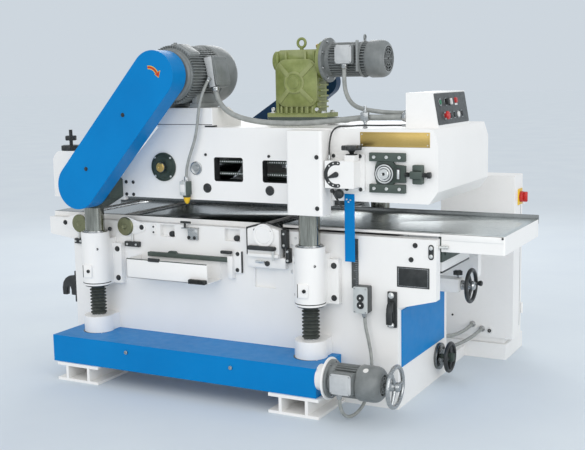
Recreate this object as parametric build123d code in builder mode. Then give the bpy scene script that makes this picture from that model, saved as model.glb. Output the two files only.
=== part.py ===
from build123d import *
import math
import os

os.makedirs("parts", exist_ok=True)

# Driving dimensions in millimetres: X along the table, Y from front to rear, Z up from the floor
TABLE_TOP = 858
TABLE_HALF = 300
TABLE_LEFT, TABLE_RIGHT = -1038, 1555
APRON_BOTTOM = 737
MOUTH = (318, 428)
BODY_LEFT, BODY_RIGHT = -870, 1060
BODY_HALF = 345
WALL = 55
WALL_TOP = 832
END_WALL = 25
COLUMN_X = 645
COLUMN_Y = 435
COLUMN_R = 52
SCREW_R = 18
RUN = 0.05
GAP = 0.3
SIDES = (-1, 1)

FOOT_HALF, FOOT_TOP = 134, 98
FOOT_FRONT = 635
GUARD_X = (-810, 762)
GUARD_FRONT = 625
GUARD_TOP = 241
HOUSING_TOP = 328
HOUSING_R, HOUSING_BACK_HALF = 80, 70
SLEEVE_R = 75
SLEEVE_Z = (496, 782)
LIFT_Y, LIFT_Z = -575, 190
LIFT_SHAFT_R = 12

SHEET = 4
ROLLER_X = (-816, -505)
ROLLER_Z, ROLLER_R, ROLLER_SHAFT_R = 805, 53, 20
LOWER_X, LOWER_Z, LOWER_R, LOWER_SHAFT_R = 372, 812, 46, 20
CUTTER_X, CUTTER_Z, CUTTER_R, SPINDLE_R = -612, 1045, 66, 25

HEAD_HALF = 380
PLATE = 30
PLATE_Z = (972, 1340)
PLATE_LEFT, PLATE_RIGHT = -480, 739
BRACKET_X = (551, 739)
BRACKET_FRONT = 487
BRACKET_Z = (935, 1335)
CASTING_FRONT = 495
CASTING_BOTTOM = 915
HOOD_END = 1268
COLUMN_BOTTOM = 612

MOTOR_X, MOTOR_Z = -110, 1603
MOTOR_PULLEY_R, SPINDLE_PULLEY_R = 90, 55
BELT_GUARD_Y = (-610, -495)
BELT_GUARD_R = 121
PULLEY_Y = (-590, -530)

REDUCER_X, REDUCER_Z, REDUCER_FRONT, REDUCER_REAR = 394, 1553, -50, 60
REDUCER_BASE_X = (221, 565)
WORM_Z = 1664
FEED_Y = 5
CHAIN_Y = (272, 296)
CHAIN_GUARD_Y = (256, 312)
REDUCER_SPROCKET_R, TRACK_SPROCKET_R = 45, 75

TRACK_Z = 1135
DRIVE_X, IDLER_X = -220, 1016
TRACK_OUT_R, TRACK_IN_R = 152, 124
TRACK_HALF = 250
TAKE_UP = 20

TURN = {"X": (0, 90, 0), "Y": (90, 0, 0), "Z": (0, 0, 0)}


def across(side, near, far):
    """Y span on one side of the machine, low end first."""
    return tuple(sorted((side * near, side * far)))


def block(x, y, z, mode=Mode.ADD):
    """Box between two limits along each axis."""
    with Locations(((x[0] + x[1]) / 2, (y[0] + y[1]) / 2, (z[0] + z[1]) / 2)):
        Box(x[1] - x[0], y[1] - y[0], z[1] - z[0], mode=mode)


def rod(axis, at, radius, span, mode=Mode.ADD):
    """Cylinder along one axis over a span; at holds its two other coordinates."""
    middle = (span[0] + span[1]) / 2
    place = {"X": (middle, *at), "Y": (at[0], middle, at[1]), "Z": (*at, middle)}[axis]
    with Locations(Location(place, TURN[axis])):
        Cylinder(radius, span[1] - span[0], mode=mode)


def slab(points, span, mode=Mode.ADD):
    """Outline in X and Z, as thick as a Y span."""
    with BuildSketch(Plane.XZ.offset(-span[1])) as face:
        with BuildLine():
            Polyline(*points, close=True)
        make_face()
    extrude(face.sketch, amount=span[1] - span[0], mode=mode)


def stadium(first, second, radius, span, mode=Mode.ADD):
    """Rounded bar in X and Z between two centres, as thick as a Y span; radius may differ at the ends."""
    ends = radius if isinstance(radius, tuple) else (radius, radius)
    with BuildSketch(Plane.XZ.offset(-span[1])) as face:
        with Locations(first):
            Circle(ends[0])
        with Locations(second):
            Circle(ends[1])
        make_hull()
    extrude(face.sketch, amount=span[1] - span[0], mode=mode)


def shell(first, second, radius, span, wall):
    """Closed rounded guard between two centres, hollow inside its wall."""
    stadium(first, second, radius, span)
    stadium(first, second, radius - wall, (span[0] + wall, span[1] - wall), Mode.SUBTRACT)


def motor(plane, flange, barrel, cover, bore):
    """Finned electric motor on a plane at its face: flange, barrel and fan cover as (radius, length)."""
    fins = 32
    fin_depth, fin_gap = 12, barrel[0] * 0.09
    with BuildSketch(plane) as disc:
        Circle(flange[0])
    extrude(disc.sketch, amount=flange[1])
    with BuildSketch(plane.offset(flange[1])) as ribs:
        Circle(barrel[0])
        with PolarLocations(barrel[0], fins):
            Rectangle(2 * fin_depth, fin_gap, mode=Mode.SUBTRACT)
    extrude(ribs.sketch, amount=barrel[1])
    with BuildSketch(plane.offset(flange[1] + barrel[1])) as cap:
        Circle(cover[0])
    extrude(cap.sketch, amount=cover[1], taper=4)
    if bore:
        with BuildSketch(plane) as hole:
            Circle(bore)
        extrude(hole.sketch, amount=flange[1] + barrel[1] + cover[1], mode=Mode.SUBTRACT)


def handwheel(centre, rim, tube, hub, spokes):
    """Spoked wheel that turns about X: torus rim, round hub as (radius, half length) and spokes."""
    with Locations(Location(centre, TURN["X"])):
        Torus(rim, tube)
        Cylinder(hub[0], 2 * hub[1])
    plane = Plane(origin=centre, x_dir=(0, 1, 0), z_dir=(1, 0, 0))
    with BuildSketch(plane.offset(-tube / 2)) as arms:
        with PolarLocations(rim / 2, spokes):
            Rectangle(rim, tube * 1.3)
        Circle(hub[0] * 0.9)
    extrude(arms.sketch, amount=tube)


def radii_of(points):
    """Bend radius at each inner point of a route: as large as its two runs allow."""
    radii = []
    for before, here, after in zip(points, points[1:], points[2:]):
        arriving = Vector(*here) - Vector(*before)
        leaving = Vector(*after) - Vector(*here)
        half_turn = math.radians(arriving.get_angle(leaving)) / 2
        shorter = min(arriving.length, leaving.length)
        radii.append(0.45 * shorter / math.tan(half_turn))
    return radii


def conduit(points, radius):
    """Flexible tube along straight runs joined by tangent arcs."""
    bends = radii_of(points)
    with BuildLine() as path:
        FilletPolyline(*points, radius=bends)
    start = Vector(*points[0])
    with BuildSketch(Plane(origin=start, z_dir=Vector(*points[1]) - start)) as section:
        Circle(radius)
    sweep(section.sketch, path=path.line)
    length = path.wires()[0].length
    print("conduit", round(length), "mm long, bends", [round(bend) for bend in bends])


def recess(centre, size, span):
    """Blind pocket in a wall: centre and size in X and Z, over a Y span."""
    x = (centre[0] - size[0] / 2, centre[0] + size[0] / 2)
    z = (centre[1] - size[1] / 2, centre[1] + size[1] / 2)
    block(x, span, z, Mode.SUBTRACT)


# Base frame: front and rear walls with their wings, two end walls and the cross walls
WALL_OUTLINE = [(BODY_LEFT, 0), (BODY_RIGHT, 0), (BODY_RIGHT, 497), (1248, 545), (1248, WALL_TOP),
                (TABLE_LEFT + 3, WALL_TOP), (TABLE_LEFT + 3, APRON_BOTTOM), (BODY_LEFT, 715)]
WELL, WELL_DEPTH = (90, 64), 25
WELLS = [(-238, 794), (160, 794)]
LOWER_WELL, LOWER_WELL_DEPTH = (118, 96), 12
LOWER_WELL_AT = (346, 585)
POCKET = 30
INNER = BODY_HALF - WALL
with BuildPart() as base_frame:
    for side in SIDES:
        span = across(side, INNER, BODY_HALF)
        slab(WALL_OUTLINE, span)
        for place in WELLS:
            recess(place, WELL, across(side, BODY_HALF - WELL_DEPTH, BODY_HALF))
        recess(LOWER_WELL_AT, LOWER_WELL, across(side, BODY_HALF - LOWER_WELL_DEPTH, BODY_HALF))
        for x in ROLLER_X:
            rod("Y", (x, ROLLER_Z), ROLLER_SHAFT_R + RUN, span, Mode.SUBTRACT)
        rod("Y", (LOWER_X, LOWER_Z), LOWER_SHAFT_R + 1, span, Mode.SUBTRACT)
        pocket_x = (BODY_LEFT + POCKET, BODY_RIGHT - POCKET)
        block(pocket_x, across(side, INNER, INNER + POCKET), (POCKET, 690), Mode.SUBTRACT)
    for x in (-END_WALL / 2, 250, 470, BODY_RIGHT - END_WALL):
        block((x, x + END_WALL), (GAP - INNER, INNER - GAP), (0, WALL_TOP))
    block((BODY_LEFT, BODY_LEFT + END_WALL), (GAP - INNER, INNER - GAP), (0, 740))

# Blue access panel on the right end
with BuildPart() as base_end_panel:
    block((BODY_RIGHT, BODY_RIGHT + 5), (-305, 300), (199, 480))
    chamfer(base_end_panel.faces().sort_by(Axis.X)[-1].edges(), 2)

# Outfeed table: polished plate with two roller slots and a deep left apron
with BuildPart() as outfeed_table:
    block((TABLE_LEFT, MOUTH[0]), (-TABLE_HALF, TABLE_HALF), (WALL_TOP, TABLE_TOP))
    block((TABLE_LEFT, TABLE_LEFT + 20), (2 - INNER, INNER - 2), (APRON_BOTTOM, WALL_TOP))
    for x in ROLLER_X:
        block((x - 57, x + 57), (-274, 274), (WALL_TOP, TABLE_TOP), Mode.SUBTRACT)

# Infeed table: thinner plate that rides on a slide at the right end of the base
INFEED_BOTTOM = WALL_TOP + 10
with BuildPart() as infeed_table:
    block((MOUTH[1], TABLE_RIGHT), (-TABLE_HALF, TABLE_HALF), (INFEED_BOTTOM, TABLE_TOP))
    block((1256, TABLE_RIGHT), (-TABLE_HALF, 24 - TABLE_HALF), (772, INFEED_BOTTOM))
    block((1256, TABLE_RIGHT), (TABLE_HALF - 24, TABLE_HALF), (772, INFEED_BOTTOM))
    block((TABLE_RIGHT - 24, TABLE_RIGHT), (-TABLE_HALF, TABLE_HALF), (772, INFEED_BOTTOM))
    block((BODY_RIGHT + GAP, 1210), (-210, 210), (650, INFEED_BOTTOM))
    fillet(infeed_table.edges().filter_by(Axis.Z).group_by(Axis.X)[-1], 8)

# Foot beams: twin web sections under each column
with BuildPart() as feet:
    for side in SIDES:
        span = across(side, BODY_HALF, FOOT_FRONT)
        for x in (-COLUMN_X, COLUMN_X):
            block((x - FOOT_HALF, x + FOOT_HALF), span, (0, 14))
            block((x - FOOT_HALF, x + FOOT_HALF), span, (FOOT_TOP - 16, FOOT_TOP))
            for web in (-70, 70):
                block((x + web - 8, x + web + 8), span, (14, FOOT_TOP - 16))
            rod("Z", (x, side * COLUMN_Y), SCREW_R + 4, (FOOT_TOP - 16, FOOT_TOP), Mode.SUBTRACT)

# Lift guards: blue sheet covers over the lift shaft, open below and behind
NECK_HALF = 60
with BuildPart() as lift_guards:
    for side in SIDES:
        block(GUARD_X, across(side, BODY_HALF + GAP, GUARD_FRONT), (FOOT_TOP, GUARD_TOP))
        inside = (GUARD_X[0] + SHEET, GUARD_X[1] - SHEET)
        depth = across(side, BODY_HALF, GUARD_FRONT - SHEET)
        block(inside, depth, (FOOT_TOP, GUARD_TOP - SHEET), Mode.SUBTRACT)
        for x in (-COLUMN_X, COLUMN_X):
            hole = (x - NECK_HALF - 2, x + NECK_HALF + 2)
            neck = across(side, COLUMN_Y - NECK_HALF - 2, COLUMN_Y + NECK_HALF + 2)
            block(hole, neck, (GUARD_TOP - SHEET, GUARD_TOP), Mode.SUBTRACT)
    rod("X", (LIFT_Y, LIFT_Z), 30, (GUARD_X[1] - SHEET, GUARD_X[1]), Mode.SUBTRACT)

# Gear housings: round in front, square behind, on a gear case that stands on the foot
CASE_HALF = 72
with BuildPart() as gear_housings:
    for side in SIDES:
        for x in (-COLUMN_X, COLUMN_X):
            rod("Z", (x, side * COLUMN_Y), HOUSING_R, (GUARD_TOP, HOUSING_TOP))
            back = across(side, BODY_HALF + GAP, COLUMN_Y)
            block((x - HOUSING_BACK_HALF, x + HOUSING_BACK_HALF), back, (GUARD_TOP, HOUSING_TOP))
            neck = across(side, COLUMN_Y - NECK_HALF, COLUMN_Y + NECK_HALF)
            block((x - NECK_HALF, x + NECK_HALF), neck, (GUARD_TOP - SHEET - GAP, GUARD_TOP))
            case = across(side, COLUMN_Y - NECK_HALF, 612)
            block((x - CASE_HALF, x + CASE_HALF), case, (FOOT_TOP, GUARD_TOP - SHEET - GAP))
            rod("Z", (x, side * COLUMN_Y), SCREW_R + GAP, (FOOT_TOP, HOUSING_TOP), Mode.SUBTRACT)
            worm_bore = (x - CASE_HALF, x + CASE_HALF)
            rod("X", (side * -LIFT_Y, LIFT_Z), 31, worm_bore, Mode.SUBTRACT)

# Screw bellows: ribbed rubber sleeves between gear housing and column sleeve
BELLOWS_RIBS = 9
BELLOWS_OUT, BELLOWS_IN, BELLOWS_WALL = 44, 33, 4
BELLOWS_CUFF = 3
with BuildPart() as screw_bellows:
    pitch = (SLEEVE_Z[0] - HOUSING_TOP - 2 * BELLOWS_CUFF) / BELLOWS_RIBS
    outer = [(BELLOWS_IN, HOUSING_TOP), (BELLOWS_IN, HOUSING_TOP + BELLOWS_CUFF)]
    for rib in range(BELLOWS_RIBS):
        foot = HOUSING_TOP + BELLOWS_CUFF + rib * pitch
        outer.append((BELLOWS_OUT, foot + pitch / 2))
        outer.append((BELLOWS_IN, foot + pitch))
    outer.append((BELLOWS_IN, SLEEVE_Z[0]))
    inner = [(radius - BELLOWS_WALL, z) for radius, z in reversed(outer)]
    for x in (-COLUMN_X, COLUMN_X):
        for side in SIDES:
            axis_plane = Plane(origin=(x, side * COLUMN_Y, 0), x_dir=(1, 0, 0), z_dir=(0, -1, 0))
            with BuildSketch(axis_plane):
                with BuildLine():
                    Polyline(*outer, *inner, close=True)
                make_face()
            revolve(axis=Axis((x, side * COLUMN_Y, 0), (0, 0, 1)))

# Column sleeves: bored guides bolted to the base by a side flange
FLANGE_HALF = 124
with BuildPart() as column_sleeves:
    for side in SIDES:
        for x in (-COLUMN_X, COLUMN_X):
            rod("Z", (x, side * COLUMN_Y), SLEEVE_R, SLEEVE_Z)
            flange = across(side, BODY_HALF, BODY_HALF + 35)
            block((x - FLANGE_HALF, x + FLANGE_HALF), flange, (SLEEVE_Z[0], 715))
            web = across(side, BODY_HALF, COLUMN_Y)
            block((x - SLEEVE_R + 6, x + SLEEVE_R - 6), web, (SLEEVE_Z[0], SLEEVE_Z[1] - 40))
            rod("Z", (x, side * COLUMN_Y), SCREW_R + 2, SLEEVE_Z, Mode.SUBTRACT)
            bore = (SLEEVE_Z[0] + 10, SLEEVE_Z[1])
            rod("Z", (x, side * COLUMN_Y), COLUMN_R + RUN, bore, Mode.SUBTRACT)

# Lift motor on the end of the front lift guard
LIFT_FACE = GUARD_X[1]
with BuildPart() as lift_motor:
    motor(Plane(origin=(LIFT_FACE, LIFT_Y, LIFT_Z), x_dir=(0, 1, 0), z_dir=(1, 0, 0)),
          (91, 16), (78, 200), (84, 106), LIFT_SHAFT_R + RUN)
    block((850, 962), (LIFT_Y - 112, LIFT_Y - 60), (150, 252))

# Lower cutterhead: five-sided bearing housings on both walls, a clamp bar in front and the motor behind
HOUSING_OUTLINE = [(275, 700), (457, 700), (457, 842), (366, 866), (275, 842)]
HOUSING_DEPTH = 50
HOUSING_FRONT = -BODY_HALF - HOUSING_DEPTH
with BuildPart() as lower_spindle_housings:
    for side in SIDES:
        span = across(side, BODY_HALF, BODY_HALF + HOUSING_DEPTH)
        slab(HOUSING_OUTLINE, span)
        block((267, 481), across(side, BODY_HALF, BODY_HALF + 34), (645, 700))
        rod("Y", (LOWER_X, LOWER_Z), LOWER_SHAFT_R + RUN, span, Mode.SUBTRACT)
    rod("Y", (LOWER_X, LOWER_Z), 49, (HOUSING_FRONT - 7, HOUSING_FRONT))
    block((282, 442), (HOUSING_FRONT - 20, HOUSING_FRONT), (738, 760))
    block((457, 489), (-BODY_HALF - 30, -BODY_HALF), (747, 842))
    block((481, 502), (-BODY_HALF - 30, -BODY_HALF), (675, 747))

LOWER_MOTOR_FACE = BODY_HALF + HOUSING_DEPTH
with BuildPart() as lower_motor:
    motor(Plane(origin=(LOWER_X, LOWER_MOTOR_FACE, LOWER_Z), x_dir=(1, 0, 0), z_dir=(0, 1, 0)),
          (112, 16), (98, 210), (104, 90), LOWER_SHAFT_R + RUN)

# Bearing caps of the bed rollers: teardrop flanges with a round cover
CAP_BOLTS = (-919, -399)
with BuildPart() as bed_roller_caps:
    for side in SIDES:
        for x, bolt_x in zip(ROLLER_X, CAP_BOLTS):
            flange = across(side, BODY_HALF, BODY_HALF + 7)
            stadium((x, ROLLER_Z), (bolt_x, ROLLER_Z), (54, 24), flange)
            rod("Y", (x, ROLLER_Z), 51, across(side, BODY_HALF + 7, BODY_HALF + 16))

# Tool tray: open channel on the front of the base, with a guide bar and an end bracket
TRAY_X, TRAY_Z = (-412, 87), (557, 658)
TRAY_FRONT = 480
BAR_Z = (656, 678)
with BuildPart() as tool_tray:
    block(TRAY_X, (-TRAY_FRONT, SHEET - TRAY_FRONT), TRAY_Z)
    block(TRAY_X, (-TRAY_FRONT, -BODY_HALF), (TRAY_Z[0], TRAY_Z[0] + SHEET))
    block(TRAY_X, (-BODY_HALF - SHEET, -BODY_HALF), (TRAY_Z[0], BAR_Z[0]))
    block((TRAY_X[0], TRAY_X[0] + SHEET), (-TRAY_FRONT, -BODY_HALF), TRAY_Z)
    block((-355, 143), (-BODY_HALF - 24, -BODY_HALF), BAR_Z)
    block((143, 173), (-BODY_HALF - 30, -BODY_HALF), (574, 690))
    block((168, 215), (-BODY_HALF - 12, -BODY_HALF), (602, 715))
    block((-15, TRAY_X[1]), (-TRAY_FRONT - 24, -TRAY_FRONT), (558, 580))

# Push-button box on the front of the base, with pockets for two buttons
BOX_X, BOX_Z = (856, 927), (468, 596)
BOX_FRONT = -405
BUTTON_X = 894
BUTTON_Z = (544, 509)
BUTTON_R = 11
with BuildPart() as push_button_box:
    block(BOX_X, (BOX_FRONT, -BODY_HALF), BOX_Z)
    fillet(push_button_box.edges().filter_by(Axis.Y), 6)
    for z in BUTTON_Z:
        rod("Y", (BUTTON_X, z), BUTTON_R + GAP, (BOX_FRONT, BOX_FRONT + 22), Mode.SUBTRACT)

with BuildPart() as up_button:
    rod("Y", (BUTTON_X, BUTTON_Z[0]), BUTTON_R, (BOX_FRONT - 8, BOX_FRONT + 14))

with BuildPart() as down_button:
    rod("Y", (BUTTON_X, BUTTON_Z[1]), BUTTON_R, (BOX_FRONT - 8, BOX_FRONT + 14))

# Electrical cabinet on its plinth behind the infeed end, with a floor duct to the base
CABINET_X, CABINET_Y, CABINET_Z = (905, 1325), (690, 850), (120, 1030)
CABINET_BACK = CABINET_Y[1] - 6
PLINTH_X, PLINTH_Y, PLINTH_TOP = (900, 1290), (684, 1020), 90
with BuildPart() as electrical_cabinet:
    block(CABINET_X, (CABINET_Y[0], CABINET_BACK), CABINET_Z)
    hollow_x = (CABINET_X[0] + SHEET, CABINET_X[1] - SHEET)
    hollow_z = (CABINET_Z[0] + SHEET, CABINET_Z[1] - SHEET)
    block(hollow_x, (CABINET_Y[0] + SHEET, CABINET_BACK), hollow_z, Mode.SUBTRACT)
    block(CABINET_X, (CABINET_BACK + GAP, CABINET_Y[1]), CABINET_Z)
    block((925, 1275), (705, 830), (PLINTH_TOP, CABINET_Z[0] - GAP))
    block(PLINTH_X, PLINTH_Y, (0, PLINTH_TOP - GAP))
    block((1012, 1052), (BODY_HALF + GAP, PLINTH_Y[0] - GAP), (0, 60))

# Main isolator on the side of the cabinet
ISOLATOR_Y, ISOLATOR_Z = 790, 908
with BuildPart() as isolator_knob:
    rod("X", (ISOLATOR_Y, ISOLATOR_Z), 6, (CABINET_X[1] + GAP, CABINET_X[1] + 6))
    rod("X", (ISOLATOR_Y, ISOLATOR_Z), 30, (CABINET_X[1] + 6, CABINET_X[1] + 22))
    grip_x = (CABINET_X[1] + 22, CABINET_X[1] + 44)
    block(grip_x, (ISOLATOR_Y - 9, ISOLATOR_Y + 9), (ISOLATOR_Z - 28, ISOLATOR_Z + 28))

# Small fixed fittings of the base: hooks, stops, clamp, fence rail, wheel bracket and flange, isolator plate
WHEEL_Y, WHEEL_Z, WHEEL_X = 45, 549, 1290
WHEEL_SHAFT_R = 12
TENSION_Y, TENSION_Z, TENSION_X = 215, 122, 1125
FENCE_Y = (TABLE_HALF + 2, TABLE_HALF + 11)
HOOK_OUTLINE = [(-970, 390), (-972, 430), (-965, 462), (-948, 485), (-925, 499), (-900, 503), (-881, 500),
                (-881, 392), (-909, 392), (-909, 420), (-914, 438), (-924, 445), (-934, 438), (-939, 420),
                (-941, 390)]
with BuildPart() as base_fittings:
    block((BODY_LEFT - 11, BODY_LEFT), (-BODY_HALF, -305), (355, 531))
    slab(HOOK_OUTLINE, (-BODY_HALF, -317))
    block((1010, 1057), (-BODY_HALF - 12, -BODY_HALF), (403, 576))
    block((1020, 1047), (-BODY_HALF - 55, -BODY_HALF - 12), (500, 532))
    block((1020, 1047), (-BODY_HALF - 55, -BODY_HALF - 33), (425, 500))
    block((-853, -798), (-BODY_HALF - 18, -BODY_HALF), (693, 721))
    block((-509, -413), (-BODY_HALF - 18, -BODY_HALF), (697, 726))
    block((-105, -43), (-BODY_HALF - 12, -BODY_HALF), (756, 816))
    block((-133, -39), (-BODY_HALF - 27, -BODY_HALF), (816, 821))
    rod("Z", (-116, -BODY_HALF - 17), 6, (821, 843))
    rod("X", (-BODY_HALF - 17, 848), 6, (-140, -81))
    block((TABLE_LEFT + 5, TABLE_RIGHT - 2), FENCE_Y, (WALL_TOP, TABLE_TOP + 14))
    block((BODY_RIGHT, 1240), (WHEEL_Y - 40, WHEEL_Y + 40), (WHEEL_Z - 34, WHEEL_Z + 34))
    rod("X", (WHEEL_Y, WHEEL_Z), WHEEL_SHAFT_R + RUN, (BODY_RIGHT, 1240), Mode.SUBTRACT)
    rod("X", (TENSION_Y, TENSION_Z), 70, (BODY_RIGHT, BODY_RIGHT + 18))
    rod("X", (TENSION_Y, TENSION_Z), WHEEL_SHAFT_R + RUN, (BODY_RIGHT, BODY_RIGHT + 18), Mode.SUBTRACT)
    plate_x = (CABINET_X[1], CABINET_X[1] + 5)
    block(plate_x, (ISOLATOR_Y - 40, ISOLATOR_Y + 40), (ISOLATOR_Z - 44, ISOLATOR_Z + 44))
    rod("X", (ISOLATOR_Y, ISOLATOR_Z), 6 + RUN, plate_x, Mode.SUBTRACT)

with BuildPart() as table_handwheel:
    handwheel((WHEEL_X, WHEEL_Y, WHEEL_Z), 78, 10, (24, 20), 3)
    rod("X", (WHEEL_Y, WHEEL_Z), WHEEL_SHAFT_R, (BODY_RIGHT + 2, WHEEL_X))
    rod("X", (WHEEL_Y + 70, WHEEL_Z), 11, (WHEEL_X + 4, WHEEL_X + 76))

with BuildPart() as tension_handwheel:
    handwheel((TENSION_X, TENSION_Y, TENSION_Z), 72, 10, (26, 22), 4)
    rod("X", (TENSION_Y, TENSION_Z), WHEEL_SHAFT_R, (BODY_RIGHT + 1, TENSION_X))

# Lift shaft: handwheel outside the motor, two worms inside the gear cases
LIFT_WHEEL_X = 1138
with BuildPart() as lift_handwheel:
    handwheel((LIFT_WHEEL_X, LIFT_Y, LIFT_Z), 92, 10, (22, 24), 3)
    rod("X", (LIFT_Y, LIFT_Z), LIFT_SHAFT_R, (-COLUMN_X - 110, LIFT_WHEEL_X))
    for x in (-COLUMN_X, COLUMN_X):
        rod("X", (LIFT_Y, LIFT_Z), 28, (x - 60, x + 60))

# Bed rollers, flush with the outfeed table
def bed_roller(x):
    rod("Y", (x, ROLLER_Z), ROLLER_R, (-270, 270))
    rod("Y", (x, ROLLER_Z), ROLLER_SHAFT_R, (GAP - BODY_HALF, BODY_HALF - GAP))


with BuildPart() as bed_roller_left:
    bed_roller(ROLLER_X[0])

with BuildPart() as bed_roller_right:
    bed_roller(ROLLER_X[1])

# Cutterheads: drums with four knife gullets on a spindle
def cutter_drum(x, z, radius, half):
    with BuildSketch(Plane.XZ.offset(-half)) as drum:
        with Locations((x, z)):
            Circle(radius)
            with PolarLocations(radius, 4):
                Rectangle(26, 15, mode=Mode.SUBTRACT)
    extrude(drum.sketch, amount=2 * half)


with BuildPart() as lower_cutterhead:
    cutter_drum(LOWER_X, LOWER_Z, LOWER_R, INNER - 4)
    rod("Y", (LOWER_X, LOWER_Z), LOWER_SHAFT_R, (-BODY_HALF - HOUSING_DEPTH + 4, LOWER_MOTOR_FACE + 280))

with BuildPart() as upper_cutterhead:
    cutter_drum(CUTTER_X, CUTTER_Z, CUTTER_R, TABLE_HALF)
    rod("Y", (CUTTER_X, CUTTER_Z), SPINDLE_R, (PULLEY_Y[0] - 6, CASTING_FRONT - 20))
    rod("Y", (CUTTER_X, CUTTER_Z), SPINDLE_PULLEY_R, PULLEY_Y)

# Side plates of the head, with two windows each
PLATE_OUTLINE = [(PLATE_LEFT, PLATE_Z[0]), (PLATE_RIGHT, PLATE_Z[0]), (PLATE_RIGHT, PLATE_Z[1]),
                 (-245, PLATE_Z[1]), (PLATE_LEFT, 1105)]
WINDOWS = [(169, 1131, 168, 121), (450, 1127, 172, 110)]
with BuildPart() as head_side_plates:
    for side in SIDES:
        span = across(side, HEAD_HALF - PLATE, HEAD_HALF)
        slab(PLATE_OUTLINE, span)
        with BuildSketch(Plane.XZ.offset(-span[1])):
            for x, z, width, height in WINDOWS:
                with Locations((x, z)):
                    RectangleRounded(width, height, 12)
            with Locations((DRIVE_X, TRACK_Z)):
                Circle(SPINDLE_R + 6)
        extrude(amount=PLATE, mode=Mode.SUBTRACT)

# Top cover: bent plate with a slot for the feed chain, motor stand with a sloping back, reducer rails
STAND_X, STAND_Y, STAND_TOP = (-254, 83), (-HEAD_HALF, -100), 1437
RAIL_TOP = 1378
COVER = 14
with BuildPart() as head_top_cover:
    inner_half = HEAD_HALF - PLATE - GAP
    roof = [(-245, PLATE_Z[1]), (PLATE_LEFT, 1105), (PLATE_LEFT, 1098), (-252, PLATE_Z[1] - COVER),
            (PLATE_RIGHT, PLATE_Z[1] - COVER), (PLATE_RIGHT, PLATE_Z[1])]
    slab(roof, (-inner_half, inner_half))
    slot_y = (CHAIN_GUARD_Y[0] + SHEET + 2, CHAIN_GUARD_Y[1] - SHEET - 2)
    block((-74, 206), slot_y, (PLATE_Z[1] - COVER, PLATE_Z[1]), Mode.SUBTRACT)
    with BuildSketch(Plane.YZ.offset(STAND_X[0])):
        with BuildLine():
            Polyline((STAND_Y[0], PLATE_Z[1]), (STAND_Y[1], PLATE_Z[1]), (STAND_Y[1], 1372),
                     (-215, STAND_TOP), (STAND_Y[0], STAND_TOP), close=True)
        make_face()
    extrude(amount=STAND_X[1] - STAND_X[0])
    bay = (STAND_X[1] - STAND_X[0]) / 3
    for step in range(3):
        left = STAND_X[0] + step * bay
        depth = (STAND_Y[0] + 14, STAND_Y[1])
        block((left + 8, left + bay - 8), depth, (PLATE_Z[1], STAND_TOP - 16), Mode.SUBTRACT)
    for y in (REDUCER_FRONT - 10, REDUCER_REAR - 30):
        block(REDUCER_BASE_X, (y, y + 40), (PLATE_Z[1], RAIL_TOP))

# Infeed hood: bent cover over the track's infeed end, with a post that carries the conduits
HOOD_LEFT = PLATE_RIGHT + GAP
HOOD_TOP = 1339
HOOD_BOTTOM, HOOD_SHEET = 1000, 8
HOOD_OUTLINE = [(HOOD_LEFT, HOOD_BOTTOM), (1226, HOOD_BOTTOM), (HOOD_END, 1056), (HOOD_END, 1270),
                (1246, HOOD_TOP), (HOOD_LEFT, HOOD_TOP)]
HOOD_INSIDE = [(HOOD_LEFT, HOOD_BOTTOM), (1216, HOOD_BOTTOM), (HOOD_END - HOOD_SHEET, 1059),
               (HOOD_END - HOOD_SHEET, 1268), (1240, HOOD_TOP - HOOD_SHEET),
               (HOOD_LEFT, HOOD_TOP - HOOD_SHEET)]
HOOD_PANEL = 18
with BuildPart() as infeed_hood:
    slab(HOOD_OUTLINE, (-HEAD_HALF, HEAD_HALF))
    slab(HOOD_INSIDE, (HOOD_PANEL - HEAD_HALF, HEAD_HALF - HOOD_PANEL), Mode.SUBTRACT)
    for side in SIDES:
        panel = across(side, HEAD_HALF - HOOD_PANEL, HEAD_HALF)
        stadium((IDLER_X - TAKE_UP, TRACK_Z), (IDLER_X, TRACK_Z), SPINDLE_R + 4, panel, Mode.SUBTRACT)
    rod("Z", (889, -322), 6, (HOOD_TOP, 1444))
    block((868, 906), (-329, -311), (1374, 1412))

# Outfeed hood: rounded chip hood over the upper cutterhead, with thick end plates
CHIP_LEFT, CHIP_TOP, CHIP_BOTTOM = -960, 1205, 953
CHIP_RIGHT = PLATE_LEFT - GAP
CHIP_SHEET, CHIP_ROUND = 8, 60
CHIP_OUTLINE = [(CHIP_LEFT, CHIP_BOTTOM), (CHIP_RIGHT, CHIP_BOTTOM), (CHIP_RIGHT, 1085), (-610, CHIP_TOP),
                (CHIP_LEFT, CHIP_TOP)]
CHIP_INSIDE = [(CHIP_LEFT + CHIP_SHEET, CHIP_BOTTOM), (CHIP_RIGHT - CHIP_SHEET, CHIP_BOTTOM),
               (CHIP_RIGHT - CHIP_SHEET, 1080), (-614, CHIP_TOP - CHIP_SHEET),
               (CHIP_LEFT + CHIP_ROUND, CHIP_TOP - CHIP_SHEET),
               (CHIP_LEFT + CHIP_SHEET, CHIP_TOP - CHIP_ROUND)]
ADJUSTER_AT = (-868, -330)
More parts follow.
